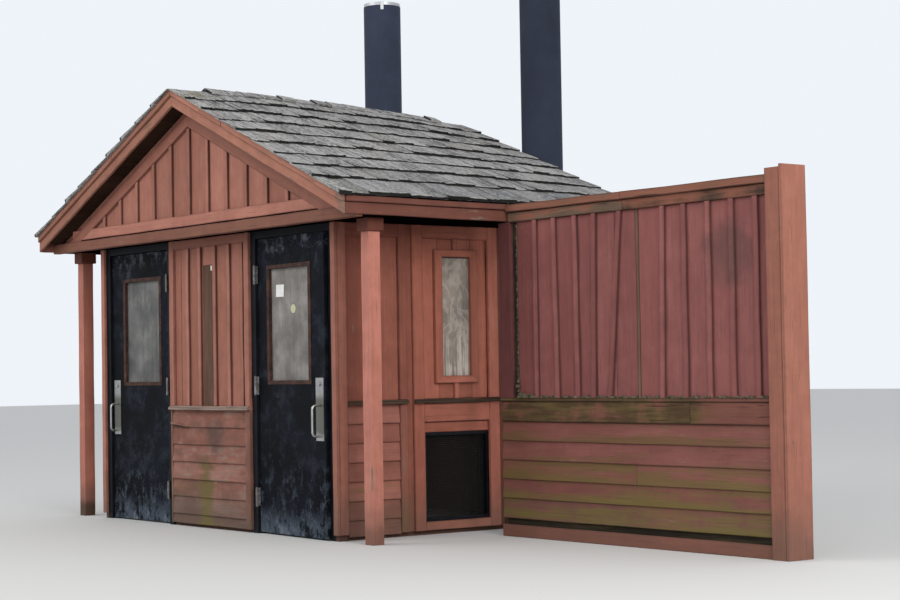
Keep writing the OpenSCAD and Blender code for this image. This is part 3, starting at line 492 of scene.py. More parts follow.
def bare_wood(name, dark, light, moss=0.0, paint=None, left=0.3, red_after=None):
    """Weathered timber with open grain, cracks and what is left of its paint, all of it beyond x = red_after.

    Grain and broad noise mix dark into light. Moss, paint, cracks and seams are smooth steps of noises.
    """
    s = Shader(name, 0.85, spec=0.15)
    uv, obj = s.grain(), s.place()
    x = s.xyz()[0]
    tint, wear = s.tone()[:2]
    grain = s.streaks(uv, (3.5, 120.0, 1), 5, 0.65)
    broad = s.streaks(uv, (1.5, 14.0, 1), 4, 0.6)
    cloud = s.noise(obj, 3.1, 5, 0.62)
    crack = s.streaks(uv, (3.0, 75.0, 1), 3, 0.5).step(0.64, 0.70)
    colour = s.mix((grain * 0.7 + broad * 0.5 + (tint - 0.5) * 0.4 - 0.1).step(0.2, 0.8), dark, light)
    if moss:
        film = s.streaks(uv, (1.6, 20.0, 1), 5, 0.65)
        colour = s.mix((film * 0.7 + cloud * 0.4).step(0.66 - moss * 0.25, 0.84 - moss * 0.2) * 0.8, colour,
                       s.mix(grain, MOSS_DARK, MOSS_LIGHT))
    if paint:
        keep = (cloud * 0.6 + broad * 0.5 + (wear - 0.5) * 0.2).step(0.62 - left * 0.3, 0.74 - left * 0.2)
        if red_after:
            keep = keep.max((x + (cloud - 0.5) * 0.5).step(red_after - 0.15, red_after + 0.15))
        colour = s.mix(keep * 0.85, colour, s.shade(paint, 0.7 + grain * 0.6))
    colour = s.shade(colour, 0.62 + cloud * 0.4 + broad * 0.36)
    colour = s.mix(crack * 0.7, colour, OPEN_CRACK)
    # Dark seams within about 7 mm of a face's edges, and on sides listed to be shaded: partly grime, partly
    # painted shade
    seam = (s.edge() + (grain - 0.5) * 0.012).step(0.007, 0.0005)
    colour = s.mix(seam * 0.5, colour, DARK_SEAM)
    return s.finish(colour, rough=0.78 + grain * 0.15, height=grain * 0.7 + broad * 0.3 - crack,
                    distance=0.0018)


def shake_wood(name):
    """Split cedar gone grey: ridges down the grain, dark butts, lichen, and moss at the front of the ridge.

    Noises at six sizes are summed and stepped between two greys, and the shake's own distance from its
    butt (the fourth tone) gives the pale edge, partly weathered wood and partly a painted highlight, and
    the painted shadow on the butt end and on the sides near it.
    """
    s = Shader(name, 0.9, spec=0.15)
    uv, obj = s.grain(), s.place()
    x, y, z = s.xyz()
    tint, brown, wear, from_butt = s.tone()
    grain = s.streaks(uv, (6.0, 260.0, 1), 5, 0.7)
    ridge = s.streaks(uv, (3.0, 44.0, 1), 4, 0.7)
    cloud = s.noise(obj, 3.2, 5, 0.6)
    spot = s.noise(obj, 30, 5, 0.72)
    weather = s.streaks(uv, (11.0, 26.0, 1), 5, 0.72)
    fleck = s.streaks(uv, (32.0, 85.0, 1), 3, 0.6)
    grey = ((grain - 0.5) * 0.5 + (ridge - 0.5) * 1.3 + (cloud - 0.5) * 0.45 + (tint - 0.5) * 0.16
            + (spot - 0.5) * 0.4 + (weather - 0.5) * 0.9 + (fleck - 0.5) * 1.1)
    colour = s.mix(grey.step(-0.36, 0.34), SHAKE_DARK, SHAKE_LIGHT)
    colour = s.mix((brown + (cloud - 0.5) * 0.6).step(0.80, 1.0) * 0.35, colour, SHAKE_BROWN)
    colour = s.mix((spot * 0.8 + cloud * 0.3).step(0.60, 0.70) * 0.55, colour, SILVERED)
    colour = s.mix(x.step(1.3, 2.1) * weather.step(0.35, 0.6) * 0.45, colour, SHAKE_BLUE)
    colour = s.mix((ridge * 0.8 + spot * 0.3).step(0.44, 0.36) * 0.75, colour, CLEFT)
    moss = (cloud + (spot - 0.5) * 0.5).step(0.44, 0.60) * y.step(-1.02, -1.22) * z.step(2.98, 3.08)
    colour = s.mix(moss * 0.8, colour, ROOF_MOSS)
    lichen = (spot + (cloud - 0.5) * 0.5).step(0.50, 0.60)
    corner = x.step(1.75, 2.1) * y.step(-1.08, -1.26)
    colour = s.mix(lichen * corner * 0.75, colour, LICHEN)
    speck = s.noise(obj, 75, 3, 0.6).step(0.62, 0.68) * cloud.step(0.40, 0.6)
    colour = s.mix(speck * 0.6, colour, LICHEN_SPECK)
    # Pale edge just above the butt: partly weathered wood, partly a painted highlight on the butt's upper
    # edge
    pale = from_butt.step(0.03, 0.0032) * (weather + wear * 0.4).step(0.5, 0.8)
    colour = s.mix(pale * 0.45, colour, PALE_BUTT_EDGE_AND_HIGHLIGHT)
    # Painted shadow on the butt's end and on the shake's sides near the butt
    dark = from_butt.step(0.0030, 0.0006).max(s.edge().step(-0.4, -0.6) * from_butt.step(0.030, 0.012))
    colour = s.mix(dark * (0.93 + ridge * 0.07), colour, BUTT_SHADOW)
    return s.finish(colour, rough=0.88, height=grain * 0.5 + ridge * 0.9, distance=0.006)


def cad_wood(name, dark, light, pitch=None, spec=0.15):
    """Timber on a solid that has no board coordinates: grain along y, and dark joints at a pitch in x."""
    s = Shader(name, 0.85, spec=spec)
    obj = s.place()
    grain = s.streaks(obj, (60, 2.5, 60), 4, 0.6)
    cloud = s.noise(obj, 2.4, 4, 0.6)
    colour = s.mix((grain * 0.7 + cloud * 0.5 - 0.1).step(0.2, 0.8), dark, light)
    height = grain * 0.6
    if pitch:
        gap = ((s.xyz()[0] / pitch).fract() - 0.5).abs().step(0.485, 0.5)
        colour = s.mix(gap, colour, BOARD_JOINT)
        height = height - gap
    return s.finish(colour, height=height, distance=0.001)


def door_paint(name, chalk_top):
    """Black steel door paint, blue-black, with chalk and scuffs towards the foot and, by a share, the top."""
    s = Shader(name, 0.55, spec=0.05)
    obj = s.place()
    z = s.xyz()[2]
    cloud = s.noise(obj, 3.4, 5, 0.6)
    blot = s.noise(obj, 9.0, 6, 0.72)
    speck = s.noise(obj, 70.0, 3, 0.6)
    scuff = s.streaks(obj, (30, 30, 4), 4, 0.65)
    low = (z + (cloud - 0.5) * 0.9).step(0.72, 0.05)
    sill = (z + (blot - 0.5) * 0.25).step(0.22, 0.03)
    high = (z + (cloud - 0.5) * 0.3).step(1.85, 2.05) * chalk_top
    colour = s.mix(cloud.step(0.35, 0.7), DOOR_BLACK, DOOR_BLUE)
    field = blot + (scuff - 0.5) * 0.5
    veil = blot.step(0.46, 0.60) * cloud.step(0.42, 0.58) * 0.16
    chalk = (field.step(0.50, 0.66) * (low * 0.8 + high)).max(sill * field.step(0.36, 0.52)).max(veil)
    colour = s.mix(chalk * 0.85, colour, CHALK)
    scuffed = (blot - (scuff - 0.5) * 0.4).step(0.52, 0.64) * (sill + high * 1.2) * 0.55
    colour = s.mix(scuffed, colour, SCUFFS)
    specks = speck.step(0.64, 0.72) * (0.10 + veil * 1.5 + low * 0.4 + high)
    colour = s.mix(specks, colour, SPECKS)
    return s.finish(colour, rough=0.5 + cloud * 0.2 + low * 0.15, height=blot * 0.4 + speck * 0.2,
                    distance=0.0006)


def rusted(name):
    """Steel bead with brown rust breaking through old paint."""
    s = Shader(name, 0.8, spec=0.2)
    obj = s.place()
    fine, wide = s.noise(obj, 90, 5, 0.7), s.noise(obj, 12, 4, 0.6)
    colour = s.mix((fine * 0.6 + wide * 0.5).step(0.4, 0.72), RUST_DARK, RUST_LIGHT)
    return s.finish(colour, rough=0.65 + fine * 0.25, height=fine, distance=0.0008)


def steel(name, colour, rough, metallic=1.0, paint=None, dim=None):
    """Dull brushed metal with finger marks, and what is left of the paint that once ran over it.

    Between two heights it is darkened to a share of its brightness as painted shade and a painted dark
    reflection, where it lies flat on a door behind the pull: y + LEAF_Y < -5 mm, less (x - pin) tan(AJAR)
    on the leaf that stands ajar.
    """
    s, smudge = Shader(name, rough, metallic), 0.25
    obj = s.place()
    brush = s.streaks(obj, (260, 260, 9), 2, 0.5)
    mark = s.noise(obj, 14, 5, 0.65)
    shade = s.shade(colour, 0.68 + brush * 0.2 + (mark - 0.5) * smudge * 2)
    # Painted shade and dark reflection on the plate behind the pull
    if dim:
        x, y, z = s.xyz()
        foot, head, share = dim
        hidden = (z + (mark - 0.5) * 0.05).step(foot - 0.02, foot + 0.02) * z.step(head + 0.03, head - 0.03)
        ajar = (x.max(LEAF_PIN_X) - LEAF_PIN_X) * math.tan(AJAR)
        flat = (y - FRONT_Y - LEAF_Y + ajar).step(-0.009, -0.005)
        shade = s.mix(hidden * flat, shade, s.shade(PLATE_SHADE_AND_REFLECTION, share + brush * 0.1))
    if paint:
        shade = s.mix(s.noise(obj, 38, 4, 0.6).step(0.42, 0.50), shade, paint)
    return s.finish(shade, rough=rough + (mark - 0.5) * smudge, height=brush, distance=0.0002)


def frosted(name, base, pale, runs, worn=None):
    """Obscured pane: grime, water marks that run down and cloudy patches, with worn paint in pale drips.

    Runs is how strongly the water marks show beside the clouds.
    """
    s = Shader(name, 0.5, spec=0.3)
    obj = s.place()
    y, z = s.xyz()[1:]
    cloud = s.noise(obj, 5.5, 4, 0.55)
    run = s.streaks(obj, (42, 42, 2.2), 4, 0.6)
    fine = s.noise(obj, 60, 4, 0.6)
    marks = (cloud * 0.6 + run * runs + (fine - 0.5) * 0.15).step(0.3, 0.65 + runs * 0.4)
    colour = s.mix(marks, base, pale)
    if worn:
        drip = s.streaks(obj, (48, 48, 1.1), 3, 0.5)
        wash = s.streaks(obj, (11, 11, 6), 3, 0.55, 0.8)
        low = (z + (wash - 0.5) * 0.7).step(1.42, 1.22)
        colour = s.mix((drip * 0.8 + wash * 0.4).step(0.54, 0.66) * low * 0.75, colour, worn)
        colour = s.mix(((wash - 0.5).abs().step(0.07, 0.02)) * z.step(1.2, 1.4) * 0.3, colour, worn)
        # Painted shadow along the pane's top and front edges, where the recess in the frame shades it
        colour = s.mix(y.step(-0.128, -0.139).max(z.step(1.872, 1.885)), colour, PANE_EDGE_SHADOW)
    colour = s.shade(colour, 0.72 + cloud * 0.56)
    return s.finish(colour, rough=0.42 + cloud * 0.25, height=fine, distance=0.0003)


def plain(name, dark, light, scale, rough, distance=0.0006, spec=0.5, lift=None):
    """Cast or moulded stuff with cloudy colour and a fine tooth."""
    s = Shader(name, rough, spec=spec)
    obj = s.place()
    cloud, fine = s.noise(obj, scale, 5, 0.6), s.noise(obj, scale * 28, 3, 0.6)
    colour = s.shade(s.mix(cloud.step(0.3, 0.72), dark, light), 0.88 + fine * 0.24)
    if lift:
        colour = s.lift(colour, *lift)
    return s.finish(colour, rough=rough + (cloud - 0.5) * 0.2, height=fine + cloud * 0.5, distance=distance)


RED = painted("red_paint_front", (0.25, 0.098, 0.069), (0.345, 0.145, 0.106))
RED_POST = painted("red_paint_post", (0.34, 0.130, 0.094), (0.47, 0.185, 0.14), chips=0.18, seam_dirt_and_shade=0.0,
                   corner=(3.059, 0.42))
# A darker copy of the red paint for the beams: partly grime, partly painted shade under the gables
RED_BEAM = painted("red_paint_beam", (0.150, 0.056, 0.036), (0.20, 0.083, 0.056), chips=0.15)
# Barge boards at x < -0.2 are 24 % darker: painted shade on the barge turned from the light
RED_BARGE = painted("red_paint_barge", (0.29, 0.120, 0.080), (0.41, 0.178, 0.120), chips=0.3, worn=2.12,
                    bare=(0.13, 0.09, 0.07), lift=(0, 0.2, -0.2, -0.24))
RED_EAVE = painted("red_paint_eave", (0.12, 0.043, 0.030), (0.18, 0.070, 0.050), chips=0.15)
RED_END = painted("red_paint_end", (0.24, 0.094, 0.065), (0.34, 0.140, 0.100), chips=0.32,
                  bare=(0.10, 0.06, 0.042))
RED_SIDE = painted("red_paint_side", (0.19, 0.062, 0.042), (0.26, 0.092, 0.065), chips=0.08)
# Window panels get up to 90 % brighter past y = 0.09 to 0.27: painted light where the screen and eave shade
# them
RED_WINDOW = painted("red_paint_window", (0.245, 0.080, 0.052), (0.315, 0.107, 0.073), chips=0.05,
                     lift=(1, 0.09, 0.27, 0.9))
RED_LOW = painted("red_paint_clapboards", (0.20, 0.078, 0.055), (0.27, 0.125, 0.095), chips=0.25,
                  grime=0.8, moss=0.35, moss_top=0.75, patches=0.55, stain=(0.08, 0.66, 0.17, 0.65),
                  column=(-0.05, 0.16))
RED_SIDE_LOW = painted("red_paint_side_low", (0.205, 0.076, 0.054), (0.295, 0.118, 0.090), chips=0.2,
                       grime=0.6, moss=0.14, moss_top=0.4)
# The posts' red made darker for their blocks: painted shade under the beams, with stains on their tops
SHADED_STAINED_PAINT = painted("shaded_stained_paint", (0.10, 0.030, 0.018), (0.145, 0.047, 0.029), chips=0.15)
SCREEN_RED = painted("red_paint_screen", (0.185, 0.062, 0.057), (0.255, 0.094, 0.087), chips=0.05,
                     stain=(4.2, 1.77, 0.26, 0.5))
SCREEN_LOW = painted("red_paint_screen_low", (0.15, 0.050, 0.042), (0.21, 0.077, 0.066), chips=0.1, moss=0.72,
                     feet=0.1, moss_top=0.95)
SCREEN_DARK = painted("red_paint_screen_end", (0.115, 0.038, 0.037), (0.175, 0.062, 0.060), chips=0.05)
BARE = bare_wood("weathered_timber", (0.045, 0.029, 0.020), (0.12, 0.078, 0.054), moss=0.3,
                 paint=(0.13, 0.050, 0.036), left=0.25)
GREY = bare_wood("pale_weathered_timber", (0.10, 0.072, 0.056), (0.27, 0.20, 0.165), moss=0.1)
HEAD = bare_wood("weathered_head", (0.04, 0.026, 0.018), (0.175, 0.115, 0.08), moss=0.15,
                 paint=(0.20, 0.078, 0.052), left=0.6)
MOSSY = bare_wood("mossy_timber", (0.058, 0.034, 0.018), (0.135, 0.078, 0.042), moss=0.8,
                  paint=(0.15, 0.056, 0.045), left=0.0, red_after=3.95)
STRIP = bare_wood("bare_board", (0.075, 0.040, 0.028), (0.17, 0.10, 0.07))
# Near-black rotten timber, which in the gaps it fills also stands in as painted shade
ROTTEN_AND_SHADED = bare_wood("rotten_shaded_timber", (0.008, 0.006, 0.004), (0.06, 0.045, 0.03), moss=0.3)
SHAKES = shake_wood("split_shakes")
# Rake soffits: brown boards darkened further as painted shade under the barge boards
SHADED_SOFFIT = cad_wood("shaded_brown_soffit", (0.012, 0.007, 0.005), (0.045, 0.024, 0.017), spec=0.0)
# Near-black timber for the soffits, ceiling, roof decks and gable walls: dark timber darkened further as
# painted shade under the roof
SHADED_DARK_TIMBER = cad_wood("shaded_dark_timber", (0.0014, 0.001, 0.0009), (0.0045, 0.0033, 0.003), pitch=0.14, spec=0.0)
CORE = cad_wood("inner_timber", (0.06, 0.03, 0.022), (0.10, 0.05, 0.038))
BLACK = door_paint("black_door_paint", 0.55)
JAMB = plain("black_frame_paint", (0.0035, 0.0037, 0.0048), (0.009, 0.010, 0.014), 6, 0.5, spec=0.1)
MOSS = plain("moss", (0.030, 0.028, 0.018), (0.140, 0.125, 0.085), 45, 0.95, distance=0.002, spec=0.05)
RUST_BEAD = rusted("rusty_steel")
# The pulls' plates get painted shade and dark reflection between 0.70 and 0.95 m, at 28 % of their brightness
STEEL = steel("brushed_steel", (0.50, 0.50, 0.49), 0.38, dim=(0.70, 0.95, 0.28))
HINGE = steel("painted_hinge", (0.24, 0.235, 0.23), 0.6, metallic=0.0, paint=(0.10, 0.095, 0.09))
GALV = steel("galvanised_steel", (0.62, 0.63, 0.64), 0.5)
GLASS_LEFT = frosted("frosted_glass_left", (0.062, 0.063, 0.062), (0.185, 0.182, 0.175), 0.35)
GLASS_RIGHT = frosted("frosted_glass_right", (0.122, 0.112, 0.103), (0.29, 0.275, 0.258), 0.3)
PANE = frosted("painted_pane", (0.13, 0.115, 0.098), (0.26, 0.22, 0.185), 0.6, worn=(0.46, 0.41, 0.365))
LABEL = plain("blank_label", (0.62, 0.62, 0.60), (0.74, 0.74, 0.72), 9, 0.6)
YELLOW = plain("blank_yellow_label", (0.42, 0.42, 0.25), (0.52, 0.52, 0.34), 9, 0.6)
CONCRETE = plain("concrete", (0.28, 0.27, 0.25), (0.40, 0.39, 0.36), 4, 0.85)
PIPE = plain("dark_plastic", (0.025, 0.031, 0.053), (0.036, 0.045, 0.073), 3, 0.7, spec=0.12,
             lift=(0, -0.3, 0.3, -0.3))
MESH = plain("dark_wire", (0.010, 0.009, 0.009), (0.03, 0.025, 0.02), 30, 0.6)


# Cladding

def front_panel():
    """The panel between the doors: boards, battens and trims above the belt, clapboards below.

    One board is bare, with a scrap of a label, and the top clapboard is split, so that a loose
    sliver, thinner by 0.6 l / L, stands off a dark gap.
    """
    trim = 0.066
    top, edge = FRONT_BELT + BELT_H, PANEL_X - trim
    boards, bare = Boards("front_panel_boards"), Boards("front_panel_bare_board")
    bare_from, low = -0.09, 0.84
    seams = [-PANEL_X, -0.41, -0.30, bare_from, 0.062, 0.28, 0.455, PANEL_X]
    for a, c in zip(seams, seams[1:]):
        depths = BOARD[0], BOARD[1] + rng.uniform(-0.001, 0.001)
        foot = low
        if a == bare_from:
            foot = 1.901
            bare.upright(FRONT, a + SEAM, c - SEAM, low, foot - SEAM, *depths)
        boards.upright(FRONT, a + SEAM, c - SEAM, foot, WALL_H, *depths)
    # Each batten's side towards +x is listed to be shaded, for painted shade
    for u in (-0.299, -0.125, 0.088, 0.283, 0.459):
        boards.batten(FRONT, u, top, WALL_H - trim, dim=(2,))
    boards.upright(FRONT, -PANEL_X, -edge, top, WALL_H, *TRIM)
    boards.upright(FRONT, edge, PANEL_X, top, WALL_H, *TRIM)
    boards.lying(FRONT, -edge, edge, WALL_H - trim, WALL_H, *TRIM)
    boards.lying(FRONT, -PANEL_X, PANEL_X, FRONT_BELT, top, -0.038, -0.001)
    boards.build(RED, "front_panel_siding", slot="red_paint")
    bare.build(STRIP, slot="bare_wood")
    scrap = Boards("torn_label")
    scrap.upright(FRONT, 0.02, 0.038, 1.858, 1.895, -0.0195, -0.0185, end=0.0003, bow=0.003)
    scrap.build(LABEL)
    claps = Boards("front_panel_clapboards")
    claps.upright(FRONT, edge, PANEL_X, CLAP_Z, FRONT_BELT, *TRIM)
    claps.upright(FRONT, -PANEL_X, -0.543, CLAP_Z, FRONT_BELT, -0.02, -0.006)
    claps.claps(FRONT, -0.541, edge - 0.002, CLAP_Z, FRONT_BELT, joints=[(5, -0.46), (2, 0.1)])
    claps.lying(FRONT, -PANEL_X, PANEL_X, CLAP_Z, FRONT_BELT, *BOARD)
    claps.add(FRONT, (-0.538, 0.006, 0.748), (0.995, -0.035, -0.09), Z, Y, 0.24, rect(0.016, 0.007, 0.002),
              taper=lambda t, f: f * (1 - 0.6 * t))
    claps.build(RED_LOW, slot="red_paint")
    # The gap behind the loose sliver: rotten timber and painted shade
    split = Boards("split_under_clapboard")
    split.add(FRONT, (-0.538, -0.006, 0.733), (0.995, 0, -0.06), Z, Y, 0.23, rect(0.014, 0.005, 0.001))
    split.build(ROTTEN_AND_SHADED, slot="bare_wood")


def side_cladding(m, name, nodes):
    """A side wall: a clapboarded part at each corner and the window panel between them.

    The rear part is the front one mirrored, with u' = BODY_D - u.
    """
    frieze, panel_half, joint, stile = WALL_H - CORNER_W, 0.369, 0.052, 0.062
    boards, claps, panel = (Boards(name + part) for part in ("_boards", "_clapboards", "_window_panel"))
    for back in (False, True):
        at = (lambda u0, u1: (BODY_D - u1, BODY_D - u0)) if back else (lambda u0, u1: (u0, u1))
        rim = (BODY_D - WINDOW_U if back else WINDOW_U) - panel_half
        edge = rim - joint
        inner = edge - stile
        width = (inner - CORNER_W) / 2
        for u in (CORNER_W, CORNER_W + width):
            boards.upright(m, *at(u + SEAM, u + width - SEAM), BELT_Z, WALL_H, *BOARD)
        boards.batten(m, at(u, u)[0], BELT_TOP, frieze)
        boards.upright(m, *at(inner, edge), BELT_TOP, WALL_H, *TRIM)
        claps.upright(m, *at(inner, edge), FOOT_Z, BELT_Z, *TRIM)
        boards.lying(m, *at(CORNER_W, inner), frieze, WALL_H, *TRIM)
        boards.lying(m, *at(CORNER_W, edge), BELT_Z, BELT_TOP, *DEEP)
        claps.lying(m, *at(CORNER_W, inner), FOOT_Z, BELT_Z, *BOARD)
        claps.claps(m, *at(CORNER_W + 0.002, inner - 0.002), CLAP_Z, BELT_Z)
        boards.upright(m, *at(inner, rim + 0.02), FOOT_Z, WALL_H, -0.038, -0.0201)
        panel.upright(m, *at(rim, rim + CORNER_W), FOOT_Z, WALL_H, *TRIM)
    lo, hi = (WINDOW_U + way * (panel_half - CORNER_W) for way in (-1, 1))
    u0, u1, z0, z1 = np.array(WINDOW) + (-LINER, LINER, -LINER, LINER)
    for a, c in ((lo, u0), (u1, hi)):
        panel.upright(m, a + SEAM, c, BELT_TOP, frieze, *BOARD)
    panel.lying(m, u0, u1, BELT_TOP, z0, *BOARD)
    panel.lying(m, u0, u1, z1, frieze, *BOARD)
    for foot, head in ((BELT_TOP, WINDOW[2] - WINDOW_RAIL), (WINDOW[3] + WINDOW_RAIL, frieze)):
        panel.upright(m, WINDOW_U - BATTEN, WINDOW_U + BATTEN, foot, head, *BATTEN_D)
    panel.lying(m, lo, hi, frieze, WALL_H, *DEEP)
    panel.lying(m, lo, hi, BELT_Z, BELT_TOP, *DEEP)
    panel.lying(m, lo, hi, BELT_Z - CLAP, BELT_Z - SEAM, *DEEP)
    panel.lying(m, lo, hi, VENT[3] + VENT_RIM, BELT_Z - CLAP - 0.002, -0.038, -0.018, bow=0.002)
    panel.lying(m, lo, hi, FOOT_Z, VENT[2] - VENT_RIM, *DEEP)
    boards.build(RED_SIDE, *nodes, slot="red_paint")
    claps.build(RED_SIDE_LOW, slot="red_paint")
    panel.build(RED_WINDOW, slot="red_paint")


def mitred(b, m, u0, u1, z0, z1, side, rail, d0, d1):
    """Four boards round an opening, their ends cut by side / rail so that they meet on the diagonals."""
    k = side / rail
    for z, up in ((z0 - rail, 1), (z1 + rail, -1)):
        b.add(m, (u0 - side, d0, z), X, (0, 0, up), Y, u1 - u0 + 2 * side, rect(rail, d1 - d0, 0.002),
              cuts=(k, -k), end=0.0005, wander=0)
    for u, way in ((u0 - side, 1), (u1 + side, -1)):
        b.add(m, (u, d0, z0 - rail), Z, (way, 0, 0), Y, z1 - z0 + 2 * rail, rect(side, d1 - d0, 0.002),
              cuts=(1 / k, -1 / k), end=0.0005, wander=0)


def window_frames():
    """Mitred trims round the side windows, 8 mm proud, over liner boards through the wall."""
    b, depths = Boards("side_window_trims"), (-0.128, -0.021)
    u0, u1, z0, z1 = WINDOW
    for m in (RIGHT, LEFT):
        mitred(b, m, *WINDOW, WINDOW_SIDE, WINDOW_RAIL, -0.02, 0.008)
        for z in (z0 - LINER, z1):
            b.lying(m, u0 - LINER, u1 + LINER, z, z + LINER, *depths)
        for u in (u0 - LINER, u1):
            b.upright(m, u, u + LINER, z0, z1, *depths)
    b.build(RED_WINDOW, "side_window_frames", slot="red_paint")


def rear_cladding():
    """The plain rear wall, with the same boards, belt and clapboards as the rest."""
    edge, frieze, count = HALF - CORNER_W, WALL_H - CORNER_W, 16
    boards, claps = Boards("rear_boards"), Boards("rear_clapboards")
    width = 2 * edge / count
    for i in range(count):
        u = -edge + i * width
        boards.upright(REAR, u + SEAM, u + width - SEAM, BELT_Z, WALL_H, *BOARD)
        if i:
            boards.batten(REAR, u, BELT_TOP, frieze)
    for a, d in ((-1.607, -edge), (edge, 1.607)):
        boards.upright(REAR, a, d, FOOT_Z, WALL_H, -0.038, -0.0201)
    boards.lying(REAR, -edge, edge, frieze, WALL_H, *TRIM)
    boards.lying(REAR, -edge, edge, BELT_Z, BELT_TOP, *DEEP)
    boards.build(RED_SIDE, "rear_siding", slot="red_paint")
    claps.lying(REAR, -edge, edge, FOOT_Z, BELT_Z, *BOARD)
    joints = [(1, 0.4), (3, -0.6), (4, 0.7)]
    claps.claps(REAR, -edge + 0.002, edge - 0.002, CLAP_Z, BELT_Z, joints=joints)
    claps.build(RED_SIDE_LOW, slot="red_paint")


def corner_trims():
    """Corner boards on all four corners, and the posts under the eaves with their blocks."""
    b = Boards("corner_trims")
    for s in (-1, 1):
        m = RIGHT if s > 0 else LEFT
        b.upright(FRONT, *sorted((s * 1.589, s * HALF)), 0.04, WALL_H, *TRIM)
        b.upright(m, 0.02, CORNER_W, 0.04, WALL_H, *TRIM)
        b.upright(REAR, *sorted((s * (HALF - CORNER_W), s * HALF)), FOOT_Z, WALL_H, *TRIM)
        b.upright(m, BODY_D - CORNER_W, BODY_D - 0.02, FOOT_Z, WALL_H, *TRIM)
    b.build(RED, "corner_boards", slot="red_paint")
    posts, blocks = Boards("roof_posts_timber"), Boards("post_blocks")
    post, block, block_h, post_x = 0.089, 0.129, 0.086, 1.9945
    out = (block - post) / 2
    for s in (-1, 1):
        for y in (0, BODY_D - post):
            m = plane((s * post_x - post / 2, y, 0), X, Y)
            posts.add(m, (0, 0, 0), Z, X, Y, WALL_H - block_h, rect(post, post, 0.002), wander=0.0008)
            blocks.add(m, (-out, -out, WALL_H - block_h), Z, X, Y, block_h, rect(block, block, 0.004),
                       end=0.004)
    posts.build(RED_POST, "roof_posts", slot="red_paint")
    blocks.build(SHADED_STAINED_PAINT, slot="red_paint")


def belts():
    """Drip rails over the clapboards: 30 mm high, 22 mm proud at the foot and sloping back above."""
    b, front = Boards("drip_rails"), Boards("front_drip_rail")
    section = [(BELT_H, 0), (BELT_H, 0.001), (BELT_H * 0.6, 0.021), (0, 0.022), (0, 0)]
    rails = [(front, FRONT, -PANEL_X + 0.005, PANEL_X - 0.005, FRONT_BELT),
             (b, REAR, -HALF, 0.3, BELT_Z), (b, REAR, 0.302, HALF, BELT_Z)]
    spans = (CORNER_W, 0.579), (0.631, 1.369), (1.421, BODY_D - CORNER_W)
    rails += [(b, m, *span, BELT_Z) for m in (LEFT, RIGHT) for span in spans]
    for boards, m, u0, u1, z in rails:
        boards.add(m, (u0, 0, z), X, Z, Y, u1 - u0, section, wander=0.001, bow=0.001)
    b.build(BARE, "belt_rails", slot="bare_wood")
    front.build(GREY, slot="bare_wood")


# Gables and roof

def gable(name, y, out, nodes=()):
    """Boards under the roof line, rake trims, battens and the bottom trim of one gable.

    A board's or batten's top is cut to the slope, from ridge - drop - slope |u| at its first edge.
    """
    m = plane((0, y, 0), X, (0, out, 0))
    ridge, slope = roof_line(y)
    base, pitch, trim = 2.17, 0.26, 0.088
    top, rake = ridge - 0.029, ridge - 0.174
    low, inner = base + trim, rake - trim
    boards = Boards(name)
    for i in range(-9, 9):
        a, c = max(i * pitch, -GABLE_HALF), min((i + 1) * pitch, GABLE_HALF)
        boards.add(m, (a + 0.0007, BOARD[0], base), Z, X, Y, top - slope * abs(a) - base,
                   rect(c - a - 0.0014, 0.018), cuts=(0, slope if i < 0 else -slope))
    for i in range(-8, 9):
        u = i * pitch
        # Each batten's side towards +x is listed to be shaded, for painted shade
        if inner - slope * (abs(u) + BATTEN) - low > 0.02:
            boards.add(m, (u - BATTEN, TRIM[0], low - 0.002), Z, X, Y, inner - slope * abs(u - BATTEN) - low,
                       rect(2 * BATTEN, 0.018), cuts=(0, -np.sign(i) * slope), dim=(2,))
    reach = (rake - base) / slope
    boards.lying(m, -reach + 0.07, reach - 0.07, base + 0.009, low, *TRIM, tone=(1.0, 1.0, 0.4))
    boards.build(RED, *nodes, slot="red_paint")
    # A near-black strip behind the gap under the bottom trim: painted shadow between the trim and the beam
    gap = Boards(name + "_gap")
    gap.lying(m, -reach + 0.03, reach - 0.03, base, base + 0.010, -0.0201, -0.012)
    gap.build(SHADED_DARK_TIMBER, slot="dark_boards")
    rakes = Boards(name + "_rakes")
    run = math.hypot(1, slope)
    for s in (-1, 1):
        rakes.add(m, (0, TRIM[0], rake), *down_slope(s, slope), Y, reach * run, rect(trim / run, 0.0205),
                  cuts=(slope, -1 / slope * 0.9))
    rakes.build(RED, slot="red_paint")


def barge(name, y, out, nodes=()):
    """Two lapped boards down each side of a gable, the upper strip in several lengths."""
    ridge, slope = roof_line(y)
    run = math.hypot(1, slope)
    m = plane((0, y, 0), X, (0, out, 0))
    boards, strips = Boards(name), Boards(name + "_strips")
    for s in (-1, 1):
        down, inwards = down_slope(s, slope)
        boards.add(m, (0, TRIM[0], ridge - 0.046), down, inwards, Y, EAVE_X * run,
                   rect(0.076 / run, 0.02, 0.003), cuts=(slope, slope), wander=0.0012)
        marks = [0, 0.415, 0.711, 1.854, EAVE_X] if s > 0 else [0, 0.9, 1.7, EAVE_X]
        for a, c in zip(marks, marks[1:]):
            cuts = (0.15 if a else slope, slope if c == EAVE_X else 0.15)
            strips.add(m, (s * a, TRIM[0], ridge - slope * a), down, inwards, Y, (c - a) * run - 0.003,
                       rect(0.047 / run, 0.035 + rng.uniform(-0.0015, 0.001), 0.003), cuts=cuts,
                       wander=0.0012)
    boards.build(RED_BARGE, *nodes, slot="red_paint")
    strips.build(RED_BARGE, slot="red_paint")


